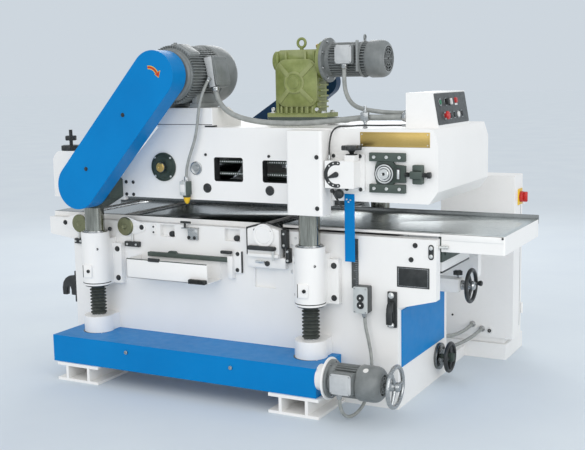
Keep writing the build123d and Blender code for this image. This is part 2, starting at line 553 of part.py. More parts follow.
with BuildPart() as outfeed_hood:
    slab(CHIP_OUTLINE, (-HEAD_HALF, HEAD_HALF))
    fillet(outfeed_hood.edges().filter_by(Axis.Y).group_by(Axis.X)[0].sort_by(Axis.Z)[-1], CHIP_ROUND)
    between = (PLATE - HEAD_HALF, HEAD_HALF - PLATE)
    slab(CHIP_INSIDE, between, Mode.SUBTRACT)
    block((CHIP_LEFT, CHIP_LEFT + CHIP_SHEET), between, (CHIP_BOTTOM, 992), Mode.SUBTRACT)
    block((CHIP_RIGHT - CHIP_SHEET, CHIP_RIGHT), between, (CHIP_BOTTOM, 1015), Mode.SUBTRACT)
    rod("Y", (CUTTER_X, CUTTER_Z), SPINDLE_R + 4, (-HEAD_HALF, HEAD_HALF), Mode.SUBTRACT)
    rod("Z", ADJUSTER_AT, 9, (CHIP_TOP, 1319))
    for radius, grip in ((46, (1208, 1232)), (25, (1262, 1284))):
        rod("Z", ADJUSTER_AT, radius, grip)

# Column brackets: white blocks on the right, cast bearing brackets on the left
with BuildPart() as right_column_brackets:
    for side in SIDES:
        block(BRACKET_X, across(side, HEAD_HALF, BRACKET_FRONT), BRACKET_Z)
    fillet(right_column_brackets.edges().filter_by(Axis.Z), 14)

CASTING_OUTLINE = [(-704, CASTING_BOTTOM), (-588, CASTING_BOTTOM), (-488, 972), (-488, 1062), (-530, 1100),
                   (-690, 1100), (-736, 1050), (-736, 950)]
with BuildPart() as left_column_brackets:
    for side in SIDES:
        span = across(side, HEAD_HALF, CASTING_FRONT)
        slab(CASTING_OUTLINE, span)
        rod("Y", (CUTTER_X, CUTTER_Z), SPINDLE_R + RUN, span, Mode.SUBTRACT)

# Columns with the lead screws that hang from them
with BuildPart() as columns:
    for side in SIDES:
        for x, top in ((-COLUMN_X, CASTING_BOTTOM), (COLUMN_X, BRACKET_Z[0])):
            rod("Z", (x, side * COLUMN_Y), COLUMN_R, (COLUMN_BOTTOM, top))
            rod("Z", (x, side * COLUMN_Y), SCREW_R, (140, COLUMN_BOTTOM))

# Main motor on its stand: end shield, long finned barrel, fan cover, feet and terminal box
MOTOR_FACE = -480
MOTOR_SHAFT_R = 21
TERMINAL_TILT = 10
MAIN_FLANGE, MAIN_BARREL, MAIN_COVER = (128, 24), (146, 280), (152, 166)
with BuildPart() as main_motor:
    motor(Plane(origin=(MOTOR_X, MOTOR_FACE, MOTOR_Z), x_dir=(1, 0, 0), z_dir=(0, 1, 0)),
          MAIN_FLANGE, MAIN_BARREL, MAIN_COVER, MOTOR_SHAFT_R + RUN)
    for foot in (-1, 1):
        block(sorted((MOTOR_X + foot * 60, MOTOR_X + foot * 115)), (-376, -190), (STAND_TOP, STAND_TOP + 22))
        block(sorted((MOTOR_X + foot * 70, MOTOR_X + foot * 100)), (-376, -190), (STAND_TOP + 22, 1525))
    with Locations(Location((37.2, -261, 1613.7), (0, -TERMINAL_TILT, 0))):
        Box(74, 148, 158)
    with BuildSketch(Plane(origin=(50, -331, 1600), z_dir=(0, -1, -1))):
        Circle(11)
    extrude(amount=24)
    cover_front = MOTOR_FACE + MAIN_FLANGE[1] + MAIN_BARREL[1]
    fan_room = (cover_front + 40, cover_front + MAIN_COVER[1] - 6)
    rod("Y", (MOTOR_X, MOTOR_Z), 122, fan_room, Mode.SUBTRACT)

with BuildPart() as main_motor_rotor:
    rod("Y", (MOTOR_X, MOTOR_Z), MOTOR_SHAFT_R, (PULLEY_Y[0] - 6, fan_room[1] - 10))
    rod("Y", (MOTOR_X, MOTOR_Z), MOTOR_PULLEY_R, PULLEY_Y)
    rod("Y", (MOTOR_X, MOTOR_Z), 112, (fan_room[0] + 20, fan_room[0] + 26))
    with BuildSketch(Plane.XZ.offset(-fan_room[0] - 60)):
        with Locations((MOTOR_X, MOTOR_Z)):
            with PolarLocations(66, 6):
                Rectangle(84, 6)
    extrude(amount=34)

# Front belt guard, belt and chain loops, and the chain guard that stands over the roof's slot
with BuildPart() as belt_guard:
    shell((MOTOR_X, MOTOR_Z), (CUTTER_X, CUTTER_Z), BELT_GUARD_R, BELT_GUARD_Y, SHEET)
    back = (BELT_GUARD_Y[1] - SHEET, BELT_GUARD_Y[1])
    rod("Y", (MOTOR_X, MOTOR_Z), MOTOR_PULLEY_R + 8, back, Mode.SUBTRACT)
    rod("Y", (CUTTER_X, CUTTER_Z), SPINDLE_PULLEY_R + 8, back, Mode.SUBTRACT)

BELT = 8
with BuildPart() as drive_belt_and_chain:
    belt_y = (PULLEY_Y[0] + 2, PULLEY_Y[1] - 2)
    tight = (MOTOR_PULLEY_R + GAP, SPINDLE_PULLEY_R + GAP)
    stadium((MOTOR_X, MOTOR_Z), (CUTTER_X, CUTTER_Z), (tight[0] + BELT, tight[1] + BELT), belt_y)
    stadium((MOTOR_X, MOTOR_Z), (CUTTER_X, CUTTER_Z), tight, belt_y, Mode.SUBTRACT)
    chain_y = (CHAIN_Y[0] + 4, CHAIN_Y[1] - 4)
    tight = (REDUCER_SPROCKET_R + GAP, TRACK_SPROCKET_R + GAP)
    stadium((REDUCER_X, REDUCER_Z), (DRIVE_X, TRACK_Z), (tight[0] + BELT, tight[1] + BELT), chain_y)
    stadium((REDUCER_X, REDUCER_Z), (DRIVE_X, TRACK_Z), tight, chain_y, Mode.SUBTRACT)

CHAIN_GUARD_R = (76, 100)
with BuildPart() as chain_guard:
    stadium((REDUCER_X, REDUCER_Z), (DRIVE_X, TRACK_Z), CHAIN_GUARD_R, CHAIN_GUARD_Y)
    inside_r = (CHAIN_GUARD_R[0] - SHEET, CHAIN_GUARD_R[1] - SHEET)
    inside_y = (CHAIN_GUARD_Y[0] + SHEET, CHAIN_GUARD_Y[1] - SHEET)
    stadium((REDUCER_X, REDUCER_Z), (DRIVE_X, TRACK_Z), inside_r, inside_y, Mode.SUBTRACT)
    below_roof = (TRACK_Z - CHAIN_GUARD_R[1], PLATE_Z[1] + GAP)
    block((DRIVE_X - 200, REDUCER_X), CHAIN_GUARD_Y, below_roof, Mode.SUBTRACT)
    front = (CHAIN_GUARD_Y[0], CHAIN_GUARD_Y[0] + SHEET)
    rod("Y", (REDUCER_X, REDUCER_Z), SPINDLE_R + 6, front, Mode.SUBTRACT)

# Worm reducer: ribbed case, round cover, motor flange, feet and lifting eye
CASE_X, CASE_TOP = (267, 516), 1719
FLANGE_X = (CASE_X[1], CASE_X[1] + 24)
with BuildPart() as worm_reducer:
    case_y = (REDUCER_FRONT, REDUCER_REAR)
    slab([(CASE_X[0], 1399), (506, 1399), (506, 1560), (CASE_X[1], 1575), (CASE_X[1], CASE_TOP),
          (300, CASE_TOP), (CASE_X[0], 1704)], case_y)
    block(REDUCER_BASE_X, (REDUCER_FRONT - 10, REDUCER_REAR + 10), (RAIL_TOP, 1399))
    with BuildSketch(Plane.XZ.offset(-REDUCER_FRONT)):
        with Locations((397, 1551)):
            RectangleRounded(236, 240, 56)
    extrude(amount=16)
    rod("Y", (REDUCER_X, REDUCER_Z), 52, (REDUCER_FRONT - 26, REDUCER_FRONT - 16))
    for step in range(5):
        fin = 1424 + step * 28
        block((506, 522), (REDUCER_FRONT + 10, REDUCER_REAR - 10), (fin, fin + 9))
    for x in (280, 328, 440, 488):
        block((x, x + 12), (REDUCER_FRONT - 12, REDUCER_FRONT), (1399, 1709))
    rod("X", (FEED_Y, WORM_Z), 96, FLANGE_X)
    rod("X", (FEED_Y, WORM_Z), 52, (CASE_X[0] - 18, CASE_X[0]))
    with Locations(Location((REDUCER_X, FEED_Y, 1754), TURN["Y"])):
        Torus(22, 7)
    rod("Z", (REDUCER_X, FEED_Y), 10, (CASE_TOP, 1738))
    rod("Y", (REDUCER_X, REDUCER_Z), SPINDLE_R + RUN, (REDUCER_REAR - 80, REDUCER_REAR), Mode.SUBTRACT)

with BuildPart() as reducer_shaft:
    rod("Y", (REDUCER_X, REDUCER_Z), SPINDLE_R, (REDUCER_REAR - 78, CHAIN_Y[1] + 6))
    rod("Y", (REDUCER_X, REDUCER_Z), REDUCER_SPROCKET_R, CHAIN_Y)

with BuildPart() as feed_motor:
    motor(Plane(origin=(FLANGE_X[1], FEED_Y, WORM_Z), x_dir=(0, 1, 0), z_dir=(1, 0, 0)),
          (112, 16), (86, 233), (92, 86), None)
    block((634, 730), (FEED_Y - 126, FEED_Y - 70), (1640, 1736))

# Feed track: sprocket shafts, pads on straight chain runs, and their bearings
DISC_Y = (200, 230)
RUN_PADS, END_PADS = 19, 7
PAD = 56


def track_shaft(x, half):
    rod("Y", (x, TRACK_Z), SPINDLE_R, (-half[0], half[1]))
    for side in SIDES:
        rod("Y", (x, TRACK_Z), TRACK_IN_R - GAP, across(side, *DISC_Y))
    rod("Y", (x, TRACK_Z), 60, (-DISC_Y[0], DISC_Y[0]))


with BuildPart() as track_drive_shaft:
    track_shaft(DRIVE_X, (HEAD_HALF + 34, HEAD_HALF - 4))
    rod("Y", (DRIVE_X, TRACK_Z), TRACK_SPROCKET_R, CHAIN_Y)

with BuildPart() as track_idler:
    track_shaft(IDLER_X, (HEAD_HALF + 28, HEAD_HALF + 28))

with BuildPart() as track_pads:
    depth = TRACK_OUT_R - TRACK_IN_R
    middle = (TRACK_OUT_R + TRACK_IN_R) / 2
    places = []
    for step in range(RUN_PADS):
        x = DRIVE_X + (step + 0.5) * (IDLER_X - DRIVE_X) / RUN_PADS
        places += [Location((x, 0, TRACK_Z + middle)), Location((x, 0, TRACK_Z - middle))]
    for step in range(END_PADS):
        angle = (step + 0.5) * math.pi / END_PADS
        reach, rise = middle * math.sin(angle), middle * math.cos(angle)
        tilt = math.degrees(angle)
        places.append(Location((IDLER_X + reach, 0, TRACK_Z + rise), (0, tilt, 0)))
        places.append(Location((DRIVE_X - reach, 0, TRACK_Z - rise), (0, tilt, 0)))
    with Locations(*places):
        Box(PAD, 2 * TRACK_HALF, depth)
    for side in SIDES:
        for rise in (-1, 1):
            height = sorted((TRACK_Z + rise * (TRACK_IN_R - 22), TRACK_Z + rise * (TRACK_IN_R - GAP)))
            block((DRIVE_X + 145, IDLER_X - TAKE_UP - 145), across(side, *DISC_Y), height)

TAKE_UP_X, SLIDE_X = (940, 1121), (966, 1118)
TAKE_UP_RAILS = [(1192, 1230), (1045, 1080)]
NUT_X = (1156, 1205)
TAKE_UP_SCREW_R = 11
with BuildPart() as track_bearings:
    for side in SIDES:
        mount = across(side, HEAD_HALF, HEAD_HALF + 20)
        for z in TAKE_UP_RAILS:
            block(TAKE_UP_X, mount, z)
    front_bearing = (-HEAD_HALF - 20, -HEAD_HALF)
    rear_bearing = (HEAD_HALF - PLATE - 20, HEAD_HALF - PLATE)
    for radius, bearing in ((74, front_bearing), (60, rear_bearing)):
        rod("Y", (DRIVE_X, TRACK_Z), radius, bearing)
        rod("Y", (DRIVE_X, TRACK_Z), SPINDLE_R + RUN, bearing, Mode.SUBTRACT)
    block(NUT_X, (-HEAD_HALF - 36, -HEAD_HALF), (1092, 1178))
    rod("X", (-HEAD_HALF - 20, TRACK_Z), TAKE_UP_SCREW_R + RUN, NUT_X, Mode.SUBTRACT)

with BuildPart() as takeup_bearings:
    for side in SIDES:
        slide = across(side, HEAD_HALF + GAP, HEAD_HALF + 26)
        block(SLIDE_X, slide, (1080 + GAP, 1192 - GAP))
        rod("Y", (IDLER_X, TRACK_Z), SPINDLE_R + RUN, slide, Mode.SUBTRACT)

with BuildPart() as takeup_screw:
    rod("X", (-HEAD_HALF - 20, TRACK_Z), TAKE_UP_SCREW_R, (SLIDE_X[1] + GAP, 1242))
    rod("X", (-HEAD_HALF - 20, TRACK_Z), 16, (NUT_X[1] + TAKE_UP + 2, 1242))

# Control box on the hood, with a leaning panel that faces the infeed end
BOX_BACK, BOX_FOOT, BOX_HEAD = 1083, 1242, 1213
CONTROL_Y, CONTROL_Z = (-300, 150), (HOOD_TOP, 1502)
LEAN = math.atan2(BOX_FOOT - BOX_HEAD, CONTROL_Z[1] - CONTROL_Z[0])


def on_panel(y, rise):
    """Plane on the leaning panel, at a depth and a height up its slope, facing out of the box."""
    x = BOX_FOOT - rise * math.sin(LEAN)
    z = CONTROL_Z[0] + rise * math.cos(LEAN)
    return Plane(origin=(x, y, z), x_dir=(0, 1, 0), z_dir=(math.cos(LEAN), 0, math.sin(LEAN)))


def round_control(plane, radius, below, above, mode=Mode.ADD):
    """Round body square to the panel, from a depth below it to a height above it."""
    with BuildSketch(plane.offset(-below)) as face:
        Circle(radius)
    extrude(face.sketch, amount=below + above, mode=mode)


UPPER_ROW, LOWER_ROW = 118, 54
START_AT, SELECTOR_AT, STOP_AT = (-233, UPPER_ROW), (-156, UPPER_ROW), (-196, LOWER_ROW)
with BuildPart() as control_box:
    slab([(BOX_BACK, CONTROL_Z[0]), (BOX_FOOT, CONTROL_Z[0]), (BOX_HEAD, CONTROL_Z[1]),
          (BOX_BACK, CONTROL_Z[1])], CONTROL_Y)
    lid = CONTROL_Z[1] - SHEET
    slab([(BOX_BACK + SHEET, CONTROL_Z[0]), (BOX_FOOT - SHEET, CONTROL_Z[0]), (BOX_HEAD - SHEET - 1, lid),
          (BOX_BACK + SHEET, lid)], (CONTROL_Y[0] + SHEET, CONTROL_Y[1] - SHEET), Mode.SUBTRACT)
    for place in (START_AT, SELECTOR_AT, STOP_AT):
        round_control(on_panel(*place), BUTTON_R + GAP, 10, 1, Mode.SUBTRACT)

with BuildPart() as start_button:
    round_control(on_panel(*START_AT), BUTTON_R, 16, 9)

with BuildPart() as stop_button:
    round_control(on_panel(*STOP_AT), BUTTON_R, 16, 14)
    round_control(on_panel(*STOP_AT).offset(14), 20, 0, 12)

with BuildPart() as selector_switch:
    round_control(on_panel(*SELECTOR_AT), BUTTON_R, 16, 6)
    with BuildSketch(on_panel(*SELECTOR_AT).offset(6)):
        RectangleRounded(9, 30, 4)
    extrude(amount=14)

# Thickness gauge box beside the right bracket, with pointer, star knob and ball lever
GAUGE_X, GAUGE_Z, GAUGE_FRONT = (747, 895), (1069, 1196), -470
POINTER_AT = (806, 1133)
LEVER_AT = (778, 1055)
LEVER_Y = (-462, -448)
KNOB_AT, KNOB_SEAT = (868, -432), 1222
with BuildPart() as gauge_box:
    block(GAUGE_X, (GAUGE_FRONT, -392), GAUGE_Z)
    fillet(gauge_box.edges().filter_by(Axis.Y), 5)
    block((743, 915), (-392, -HEAD_HALF), (1050, 1222))
    block((766, 790), (LEVER_Y[1] + GAP, -430), (1045, GAUGE_Z[0]))
    rod("Y", LEVER_AT, 4, (LEVER_Y[0], LEVER_Y[1] + GAP))
    rod("Y", POINTER_AT, 5 + RUN, (GAUGE_FRONT, GAUGE_FRONT + 20), Mode.SUBTRACT)
    block((KNOB_AT[0] - 25, KNOB_AT[0] + 25), (KNOB_AT[1] - 25, KNOB_AT[1] + 25), (GAUGE_Z[1], KNOB_SEAT))
    rod("Z", KNOB_AT, 8 + RUN, (GAUGE_Z[1] - 20, KNOB_SEAT), Mode.SUBTRACT)

with BuildPart() as gauge_pointer:
    rod("Y", POINTER_AT, 5, (GAUGE_FRONT - 6, GAUGE_FRONT + 18))
    stadium(POINTER_AT, (POINTER_AT[0] - 30, POINTER_AT[1] - 16), (9, 3), (GAUGE_FRONT - 6, GAUGE_FRONT - 2))

with BuildPart() as star_knob:
    rod("Z", KNOB_AT, 8, (GAUGE_Z[1] - 18, 1240))
    with BuildSketch(Plane.XY.offset(1240)):
        with Locations(KNOB_AT):
            Circle(36)
            with PolarLocations(35.5, 6):
                Circle(13.5)
    extrude(amount=24)

with BuildPart() as ball_lever:
    rod("Y", LEVER_AT, 9, LEVER_Y)
    stadium(LEVER_AT, (822, 1036), 4, (-459, -451))
    stadium(LEVER_AT, (820, 1002), 4, (-459, -451))
    with Locations((822, -455, 1036)):
        Sphere(21)
    rod("Y", LEVER_AT, 4 + RUN, LEVER_Y, Mode.SUBTRACT)

# Limit switch on the side plate, and the hanging strip that covers the height scale
with BuildPart() as limit_switch:
    block((-100, -38), (-426, -HEAD_HALF), (996, 1068))
    block((-84, -54), (-418, -390), (952, 996))

with BuildPart() as hanging_strip:
    block((806, 858), (-HEAD_HALF - SHEET, -HEAD_HALF), (710, 1034))

# Flexible conduits, as routes of points chosen along what they cross
MOTOR_ROUTE = [(63.8, -315, 1537.9), (69.5, -315, 1505.5), (81, -315, 1474), (103, -315, 1443),
               (136, -315, 1416), (185, -315, 1393), (255, -314, 1375), (340, -311, 1363), (440, -307, 1359),
               (545, -303, 1359), (660, -300, 1366), (781, -297, 1379), (885, -294, 1389), (955, -291, 1388),
               (1025, -284, 1390), (BOX_BACK, -284, 1390)]
SWITCH_ROUTE = [(50, -348.2, 1582.8), (50, -363, 1568), (49, -379, 1549), (43, -394, 1521), (30, -404, 1476),
                (18, -407, 1412), (8, -407, 1340), (-10, -406, 1272), (-40, -405, 1205), (-69, -403, 1125),
                (-69, -403, 1068)]
FEED_ROUTE = [(678, -93, 1640), (678, -93, 1602), (682, -102, 1560), (696, -123, 1514), (727, -155, 1473),
              (775, -199, 1442), (840, -245, 1426), (900, -268, 1419), (962, -265, 1411), (1028, -254, 1408),
              (BOX_BACK, -254, 1408)]
CABLE_ROUTE = [(BOX_BACK, -285, 1352), (1025, -285, 1352), (955, -318, 1352), (885, -342, 1354),
               (820, -352, 1350), (772, -382, 1350), (756, -410, 1325), (751, -424, 1275), (752, -430, 1236),
               (752, -430, 1196)]
LIFT_ROUTE = [(902, -375, 468), (902, -375, 415), (922, -379, 340), (942, -388, 262), (951, -404, 185),
              (951, -440, 112), (945.5, -487.7, 57.7), (934, -533, 29.5), (922.2, -577.9, 21.7),
              (911.8, -618, 31), (903.8, -649, 63), (900, -664, 112), (900, -664, 150)]
UPPER_CABINET_ROUTE = [(1096, 690, 188), (1096, 640, 188), (1080, 578, 172), (1052, 510, 162),
                       (1024, 445, 168), (1008, 388, 182), (1008, BODY_HALF, 182)]
LOWER_CABINET_ROUTE = [(1150, 690, 166), (1150, 640, 166), (1136, 575, 150), (1106, 518, 131),
                       (1072, 458, 119), (1044, 392, 116), (1044, BODY_HALF, 116)]
with BuildPart() as head_conduits:
    conduit(MOTOR_ROUTE, 14)
    conduit(SWITCH_ROUTE, 8)
    conduit(FEED_ROUTE, 11)
    conduit(CABLE_ROUTE, 4)

with BuildPart() as base_conduits:
    conduit(LIFT_ROUTE, 8.5)
    conduit(UPPER_CABINET_ROUTE, 10)
    conduit(LOWER_CABINET_ROUTE, 10)

PIECES = {
    "base_frame": base_frame, "base_end_panel": base_end_panel, "outfeed_table": outfeed_table,
    "infeed_table": infeed_table, "feet": feet, "lift_guards": lift_guards, "gear_housings": gear_housings,
    "screw_bellows": screw_bellows, "column_sleeves": column_sleeves, "lift_motor": lift_motor,
    "lower_spindle_housings": lower_spindle_housings, "lower_motor": lower_motor,
    "bed_roller_caps": bed_roller_caps, "tool_tray": tool_tray, "push_button_box": push_button_box,
    "up_button": up_button, "down_button": down_button, "electrical_cabinet": electrical_cabinet,
    "isolator_knob": isolator_knob, "base_fittings": base_fittings, "table_handwheel": table_handwheel,
    "tension_handwheel": tension_handwheel, "lift_handwheel": lift_handwheel,
    "bed_roller_left": bed_roller_left, "bed_roller_right": bed_roller_right,
    "lower_cutterhead": lower_cutterhead, "upper_cutterhead": upper_cutterhead,
    "head_side_plates": head_side_plates, "head_top_cover": head_top_cover, "infeed_hood": infeed_hood,
    "outfeed_hood": outfeed_hood, "right_column_brackets": right_column_brackets,
    "left_column_brackets": left_column_brackets, "columns": columns, "main_motor": main_motor,
    "main_motor_rotor": main_motor_rotor, "belt_guard": belt_guard,
    "drive_belt_and_chain": drive_belt_and_chain, "chain_guard": chain_guard, "worm_reducer": worm_reducer,
    "reducer_shaft": reducer_shaft, "feed_motor": feed_motor, "track_drive_shaft": track_drive_shaft,
    "track_idler": track_idler, "track_pads": track_pads, "track_bearings": track_bearings,
    "takeup_bearings": takeup_bearings, "takeup_screw": takeup_screw, "control_box": control_box,
    "start_button": start_button, "stop_button": stop_button, "selector_switch": selector_switch,
    "gauge_box": gauge_box, "gauge_pointer": gauge_pointer, "star_knob": star_knob,
    "ball_lever": ball_lever, "limit_switch": limit_switch, "hanging_strip": hanging_strip,
    "head_conduits": head_conduits, "base_conduits": base_conduits,
}
for label, piece in PIECES.items():
    piece.part.label = label
    export_step(piece.part, f"parts/{label}.step")
print(len(PIECES), "pieces")
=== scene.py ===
import math

import bmesh
import bpy
from mathutils import Matrix, Vector


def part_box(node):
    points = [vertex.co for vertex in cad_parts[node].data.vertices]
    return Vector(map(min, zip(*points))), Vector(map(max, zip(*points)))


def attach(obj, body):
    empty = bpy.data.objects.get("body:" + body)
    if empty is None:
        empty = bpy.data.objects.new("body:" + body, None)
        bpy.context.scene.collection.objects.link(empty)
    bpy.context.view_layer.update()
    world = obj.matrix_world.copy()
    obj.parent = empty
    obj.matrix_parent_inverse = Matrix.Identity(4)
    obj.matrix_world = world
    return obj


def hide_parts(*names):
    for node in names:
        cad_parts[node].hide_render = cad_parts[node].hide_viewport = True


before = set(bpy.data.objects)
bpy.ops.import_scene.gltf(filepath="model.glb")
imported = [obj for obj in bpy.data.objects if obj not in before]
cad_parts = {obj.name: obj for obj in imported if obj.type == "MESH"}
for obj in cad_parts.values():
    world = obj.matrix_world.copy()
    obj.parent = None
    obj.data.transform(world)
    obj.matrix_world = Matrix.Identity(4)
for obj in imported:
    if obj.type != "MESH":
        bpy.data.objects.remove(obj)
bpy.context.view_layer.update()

# Shapes are built in millimetres, in the part's own frame, and scaled to metres when they become pieces
MM = 0.001
SIDES = (-1, 1)
FRONT, BACK = Vector((0, -1, 0)), Vector((0, 1, 0))
LEFT, RIGHT, UP = Vector((-1, 0, 0)), Vector((1, 0, 0)), Vector((0, 0, 1))
SHARP = math.radians(32)
THIRD_AXIS = {
    "XZ": lambda a, b, c: (a, c, b),
    "XY": lambda a, b, c: (a, b, c),
    "YZ": lambda a, b, c: (c, a, b),
}


def around(middle, half):
    """Span on both sides of a middle."""
    return middle - half, middle + half


def across(side, near, far):
    """Span of Y at the front or the rear, from two distances to the middle plane."""
    return sorted((side * near, side * far))


def span_of(node):
    """X, Y and Z spans of a construction node, in millimetres to a hundredth."""
    low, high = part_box(node)
    return [(round(a / MM, 2), round(b / MM, 2)) for a, b in zip(low, high)]


def middle_of(node):
    """Middle of a construction node's box, in millimetres."""
    return [(low + high) / 2 for low, high in span_of(node)]


# Faces that fittings stand on, as distances from the middle plane, and how far the fittings sink into them
WALL = span_of("base_frame")[1][1]
PLATE = span_of("head_side_plates")[1][1]
SUNK = 2


def on_face(face, height):
    """Span of Y of a fitting that stands on a front face."""
    return -face - height, -face + SUNK


def arc(centre, radius, start, end, steps=8):
    """Points on an arc, angles in degrees."""
    angles = [math.radians(start + (end - start) * step / steps) for step in range(steps + 1)]
    return [(centre[0] + radius * math.cos(a), centre[1] + radius * math.sin(a)) for a in angles]


def rounded(centre, width, height, radius, steps=5):
    """Outline of a rectangle with round corners."""
    dx, dy = width / 2 - radius, height / 2 - radius
    corners = [(1, 1, 0), (-1, 1, 90), (-1, -1, 180), (1, -1, 270)]
    outline = []
    for sx, sy, turn in corners:
        outline += arc((centre[0] + sx * dx, centre[1] + sy * dy), radius, turn, turn + 90, steps)
    return outline


def stadium(first, second, radius, end_radius=None, steps=16):
    """Outline of a bar with round ends, as a belt runs round two pulleys."""
    end_radius = end_radius or radius
    gap = math.dist(first, second)
    heading = math.degrees(math.atan2(second[1] - first[1], second[0] - first[0]))
    lean = math.degrees(math.acos((radius - end_radius) / gap))
    return (arc(first, radius, heading + lean, heading + 360 - lean, steps)
            + arc(second, end_radius, heading - lean, heading + lean, steps))


def lobed(centre, radius, depth, lobes, steps=8):
    """Outline of a star knob."""
    count = lobes * steps
    radii = [radius - depth * (0.5 - 0.5 * math.cos(2 * math.pi * step / steps)) for step in range(count)]
    turns = [2 * math.pi * step / count for step in range(count)]
    return [(centre[0] + r * math.cos(t), centre[1] + r * math.sin(t)) for r, t in zip(radii, turns)]


class Shape:
    """A mesh under construction."""

    def __init__(self):
        self.mesh = bmesh.new()

    def take(self, part, soft=0.0):
        """Rounds a part's sharp edges and joins it to the shape."""
        bmesh.ops.recalc_face_normals(part, faces=part.faces)
        if soft:
            sharp = [edge for edge in part.edges if edge.is_manifold and edge.calc_face_angle() > SHARP]
            bmesh.ops.bevel(part, geom=sharp, offset=soft, segments=2, profile=0.5, affect="EDGES",
                            clamp_overlap=True)
        joined = bpy.data.meshes.new("joined")
        part.to_mesh(joined)
        part.free()
        self.mesh.from_mesh(joined)
        bpy.data.meshes.remove(joined)

    def block(self, x, y, z, soft=2.0):
        """Box between limits along each axis."""
        part = bmesh.new()
        middle = [(low + high) / 2 for low, high in (x, y, z)]
        size = [high - low for low, high in (x, y, z)]
        bmesh.ops.create_cube(part, size=1, matrix=Matrix.Translation(middle) @ Matrix.Diagonal((*size, 1)))
        self.take(part, soft)

    def turned(self, origin, along, profile, steps=40, soft=0.0, ring=False):
        """Profile of (radius, height) points turned about a line; a ring's profile closes on itself."""
        part = bmesh.new()
        place = Matrix.Translation(origin) @ Vector(along).to_track_quat("Z", "Y").to_matrix().to_4x4()
        loops = []
        for radius, height in profile:
            count = steps if radius > 1e-6 else 1
            turns = [2 * math.pi * step / steps for step in range(count)]
            loops.append([part.verts.new(place @ Vector((radius * math.cos(t), radius * math.sin(t), height)))
                          for t in turns])
        pairs = list(zip(loops, loops[1:]))
        if ring:
            pairs.append((loops[-1], loops[0]))
        for lower, upper in pairs:
            for step in range(steps):
                after = (step + 1) % steps
                corners = [lower[step % len(lower)], lower[after % len(lower)],
                           upper[after % len(upper)], upper[step % len(upper)]]
                distinct = list(dict.fromkeys(corners))
                if len(distinct) > 2:
                    part.faces.new(distinct)
        self.take(part, soft)

    def disc(self, at, along, radius, thick, soft=1.0, steps=40):
        """Round plate that stands on a surface."""
        self.turned(at, along, [(0, 0), (radius, 0), (radius, thick), (0, thick)], steps, soft)

    def collar(self, at, along, outer, inner, thick, soft=1.0, steps=40):
        """Flat ring that stands on a surface."""
        section = [(inner, 0), (outer, 0), (outer, thick), (inner, thick)]
        self.turned(at, along, section, steps, soft, ring=True)

    def torus(self, at, along, radius, tube, steps=48, sides=14):
        """Round ring of round section."""
        section = arc((radius, 0), tube, 0, 360 * (sides - 1) / sides, sides - 1)
        self.turned(at, along, section, steps, ring=True)

    def ball(self, at, radius, steps=24):
        """Sphere."""
        self.turned(at, UP, arc((0, 0), radius, -90, 90, steps // 2), steps)

    def prism(self, outline, span, plane="XZ", soft=2.0):
        """Outline in one plane, as thick as a span of the third axis."""
        put = THIRD_AXIS[plane]
        part = bmesh.new()
        near = [part.verts.new(put(a, b, span[0])) for a, b in outline]
        far = [part.verts.new(put(a, b, span[1])) for a, b in outline]
        part.faces.new(near)
        part.faces.new(far)
        for step in range(len(outline)):
            after = (step + 1) % len(outline)
            part.faces.new((near[step], near[after], far[after], far[step]))
        self.take(part, soft)

    def skin(self, rings):
        """Closed surface over rings of points, each ring with as many points as the next."""
        part = bmesh.new()
        loops = [[part.verts.new(point) for point in ring] for ring in rings]
        for lower, upper in zip(loops, loops[1:]):
            for step in range(len(lower)):
                after = (step + 1) % len(lower)
                part.faces.new((lower[step], lower[after], upper[after], upper[step]))
        part.faces.new(loops[0])
        part.faces.new(loops[-1])
        self.take(part)

    def tube(self, points, radii, sides=14):
        """Round rod along a line of points, with one radius or one for each point."""
        points = [Vector(point) for point in points]
        radii = radii if isinstance(radii, list) else [radii] * len(points)
        part = bmesh.new()
        loops = []
        side = None
        for step, point in enumerate(points):
            ahead = (points[min(step + 1, len(points) - 1)] - points[max(step - 1, 0)]).normalized()
            side = (side - ahead * side.dot(ahead)).normalized() if side else ahead.orthogonal().normalized()
            other = ahead.cross(side)
            turns = [2 * math.pi * corner / sides for corner in range(sides)]
            loops.append([part.verts.new(point + radii[step] * (math.cos(t) * side + math.sin(t) * other))
                          for t in turns])
        for lower, upper in zip(loops, loops[1:]):
            for corner in range(sides):
                after = (corner + 1) % sides
                part.faces.new((lower[corner], lower[after], upper[after], upper[corner]))
        part.faces.new(loops[0])
        part.faces.new(loops[-1])
        self.take(part)

    def cap_screw(self, at, along, radius):
        """Round screw head with a hexagon socket."""
        high = radius * 0.9
        head = [(0, 0), (radius, 0), (radius, high * 0.85), (radius * 0.86, high)]
        socket = [(radius * 0.55, high), (radius * 0.5, high * 0.45), (0, high * 0.45)]
        self.turned(at, along, head + socket, 24)

    def hex_bolt(self, at, along, radius):
        """Hexagon head on a washer."""
        along = Vector(along)
        washer, high = radius * 0.25, radius * 0.75
        self.disc(at, along, radius * 1.35, washer, soft=0.4, steps=24)
        head = [(0, 0), (radius, 0), (radius, radius * 0.6), (radius * 0.8, high), (0, high)]
        self.turned(Vector(at) + along * washer, along, head, 6)

    def place(self, matrix):
        """Moves all that is built so far."""
        bmesh.ops.transform(self.mesh, matrix=matrix, verts=self.mesh.verts)
        return self

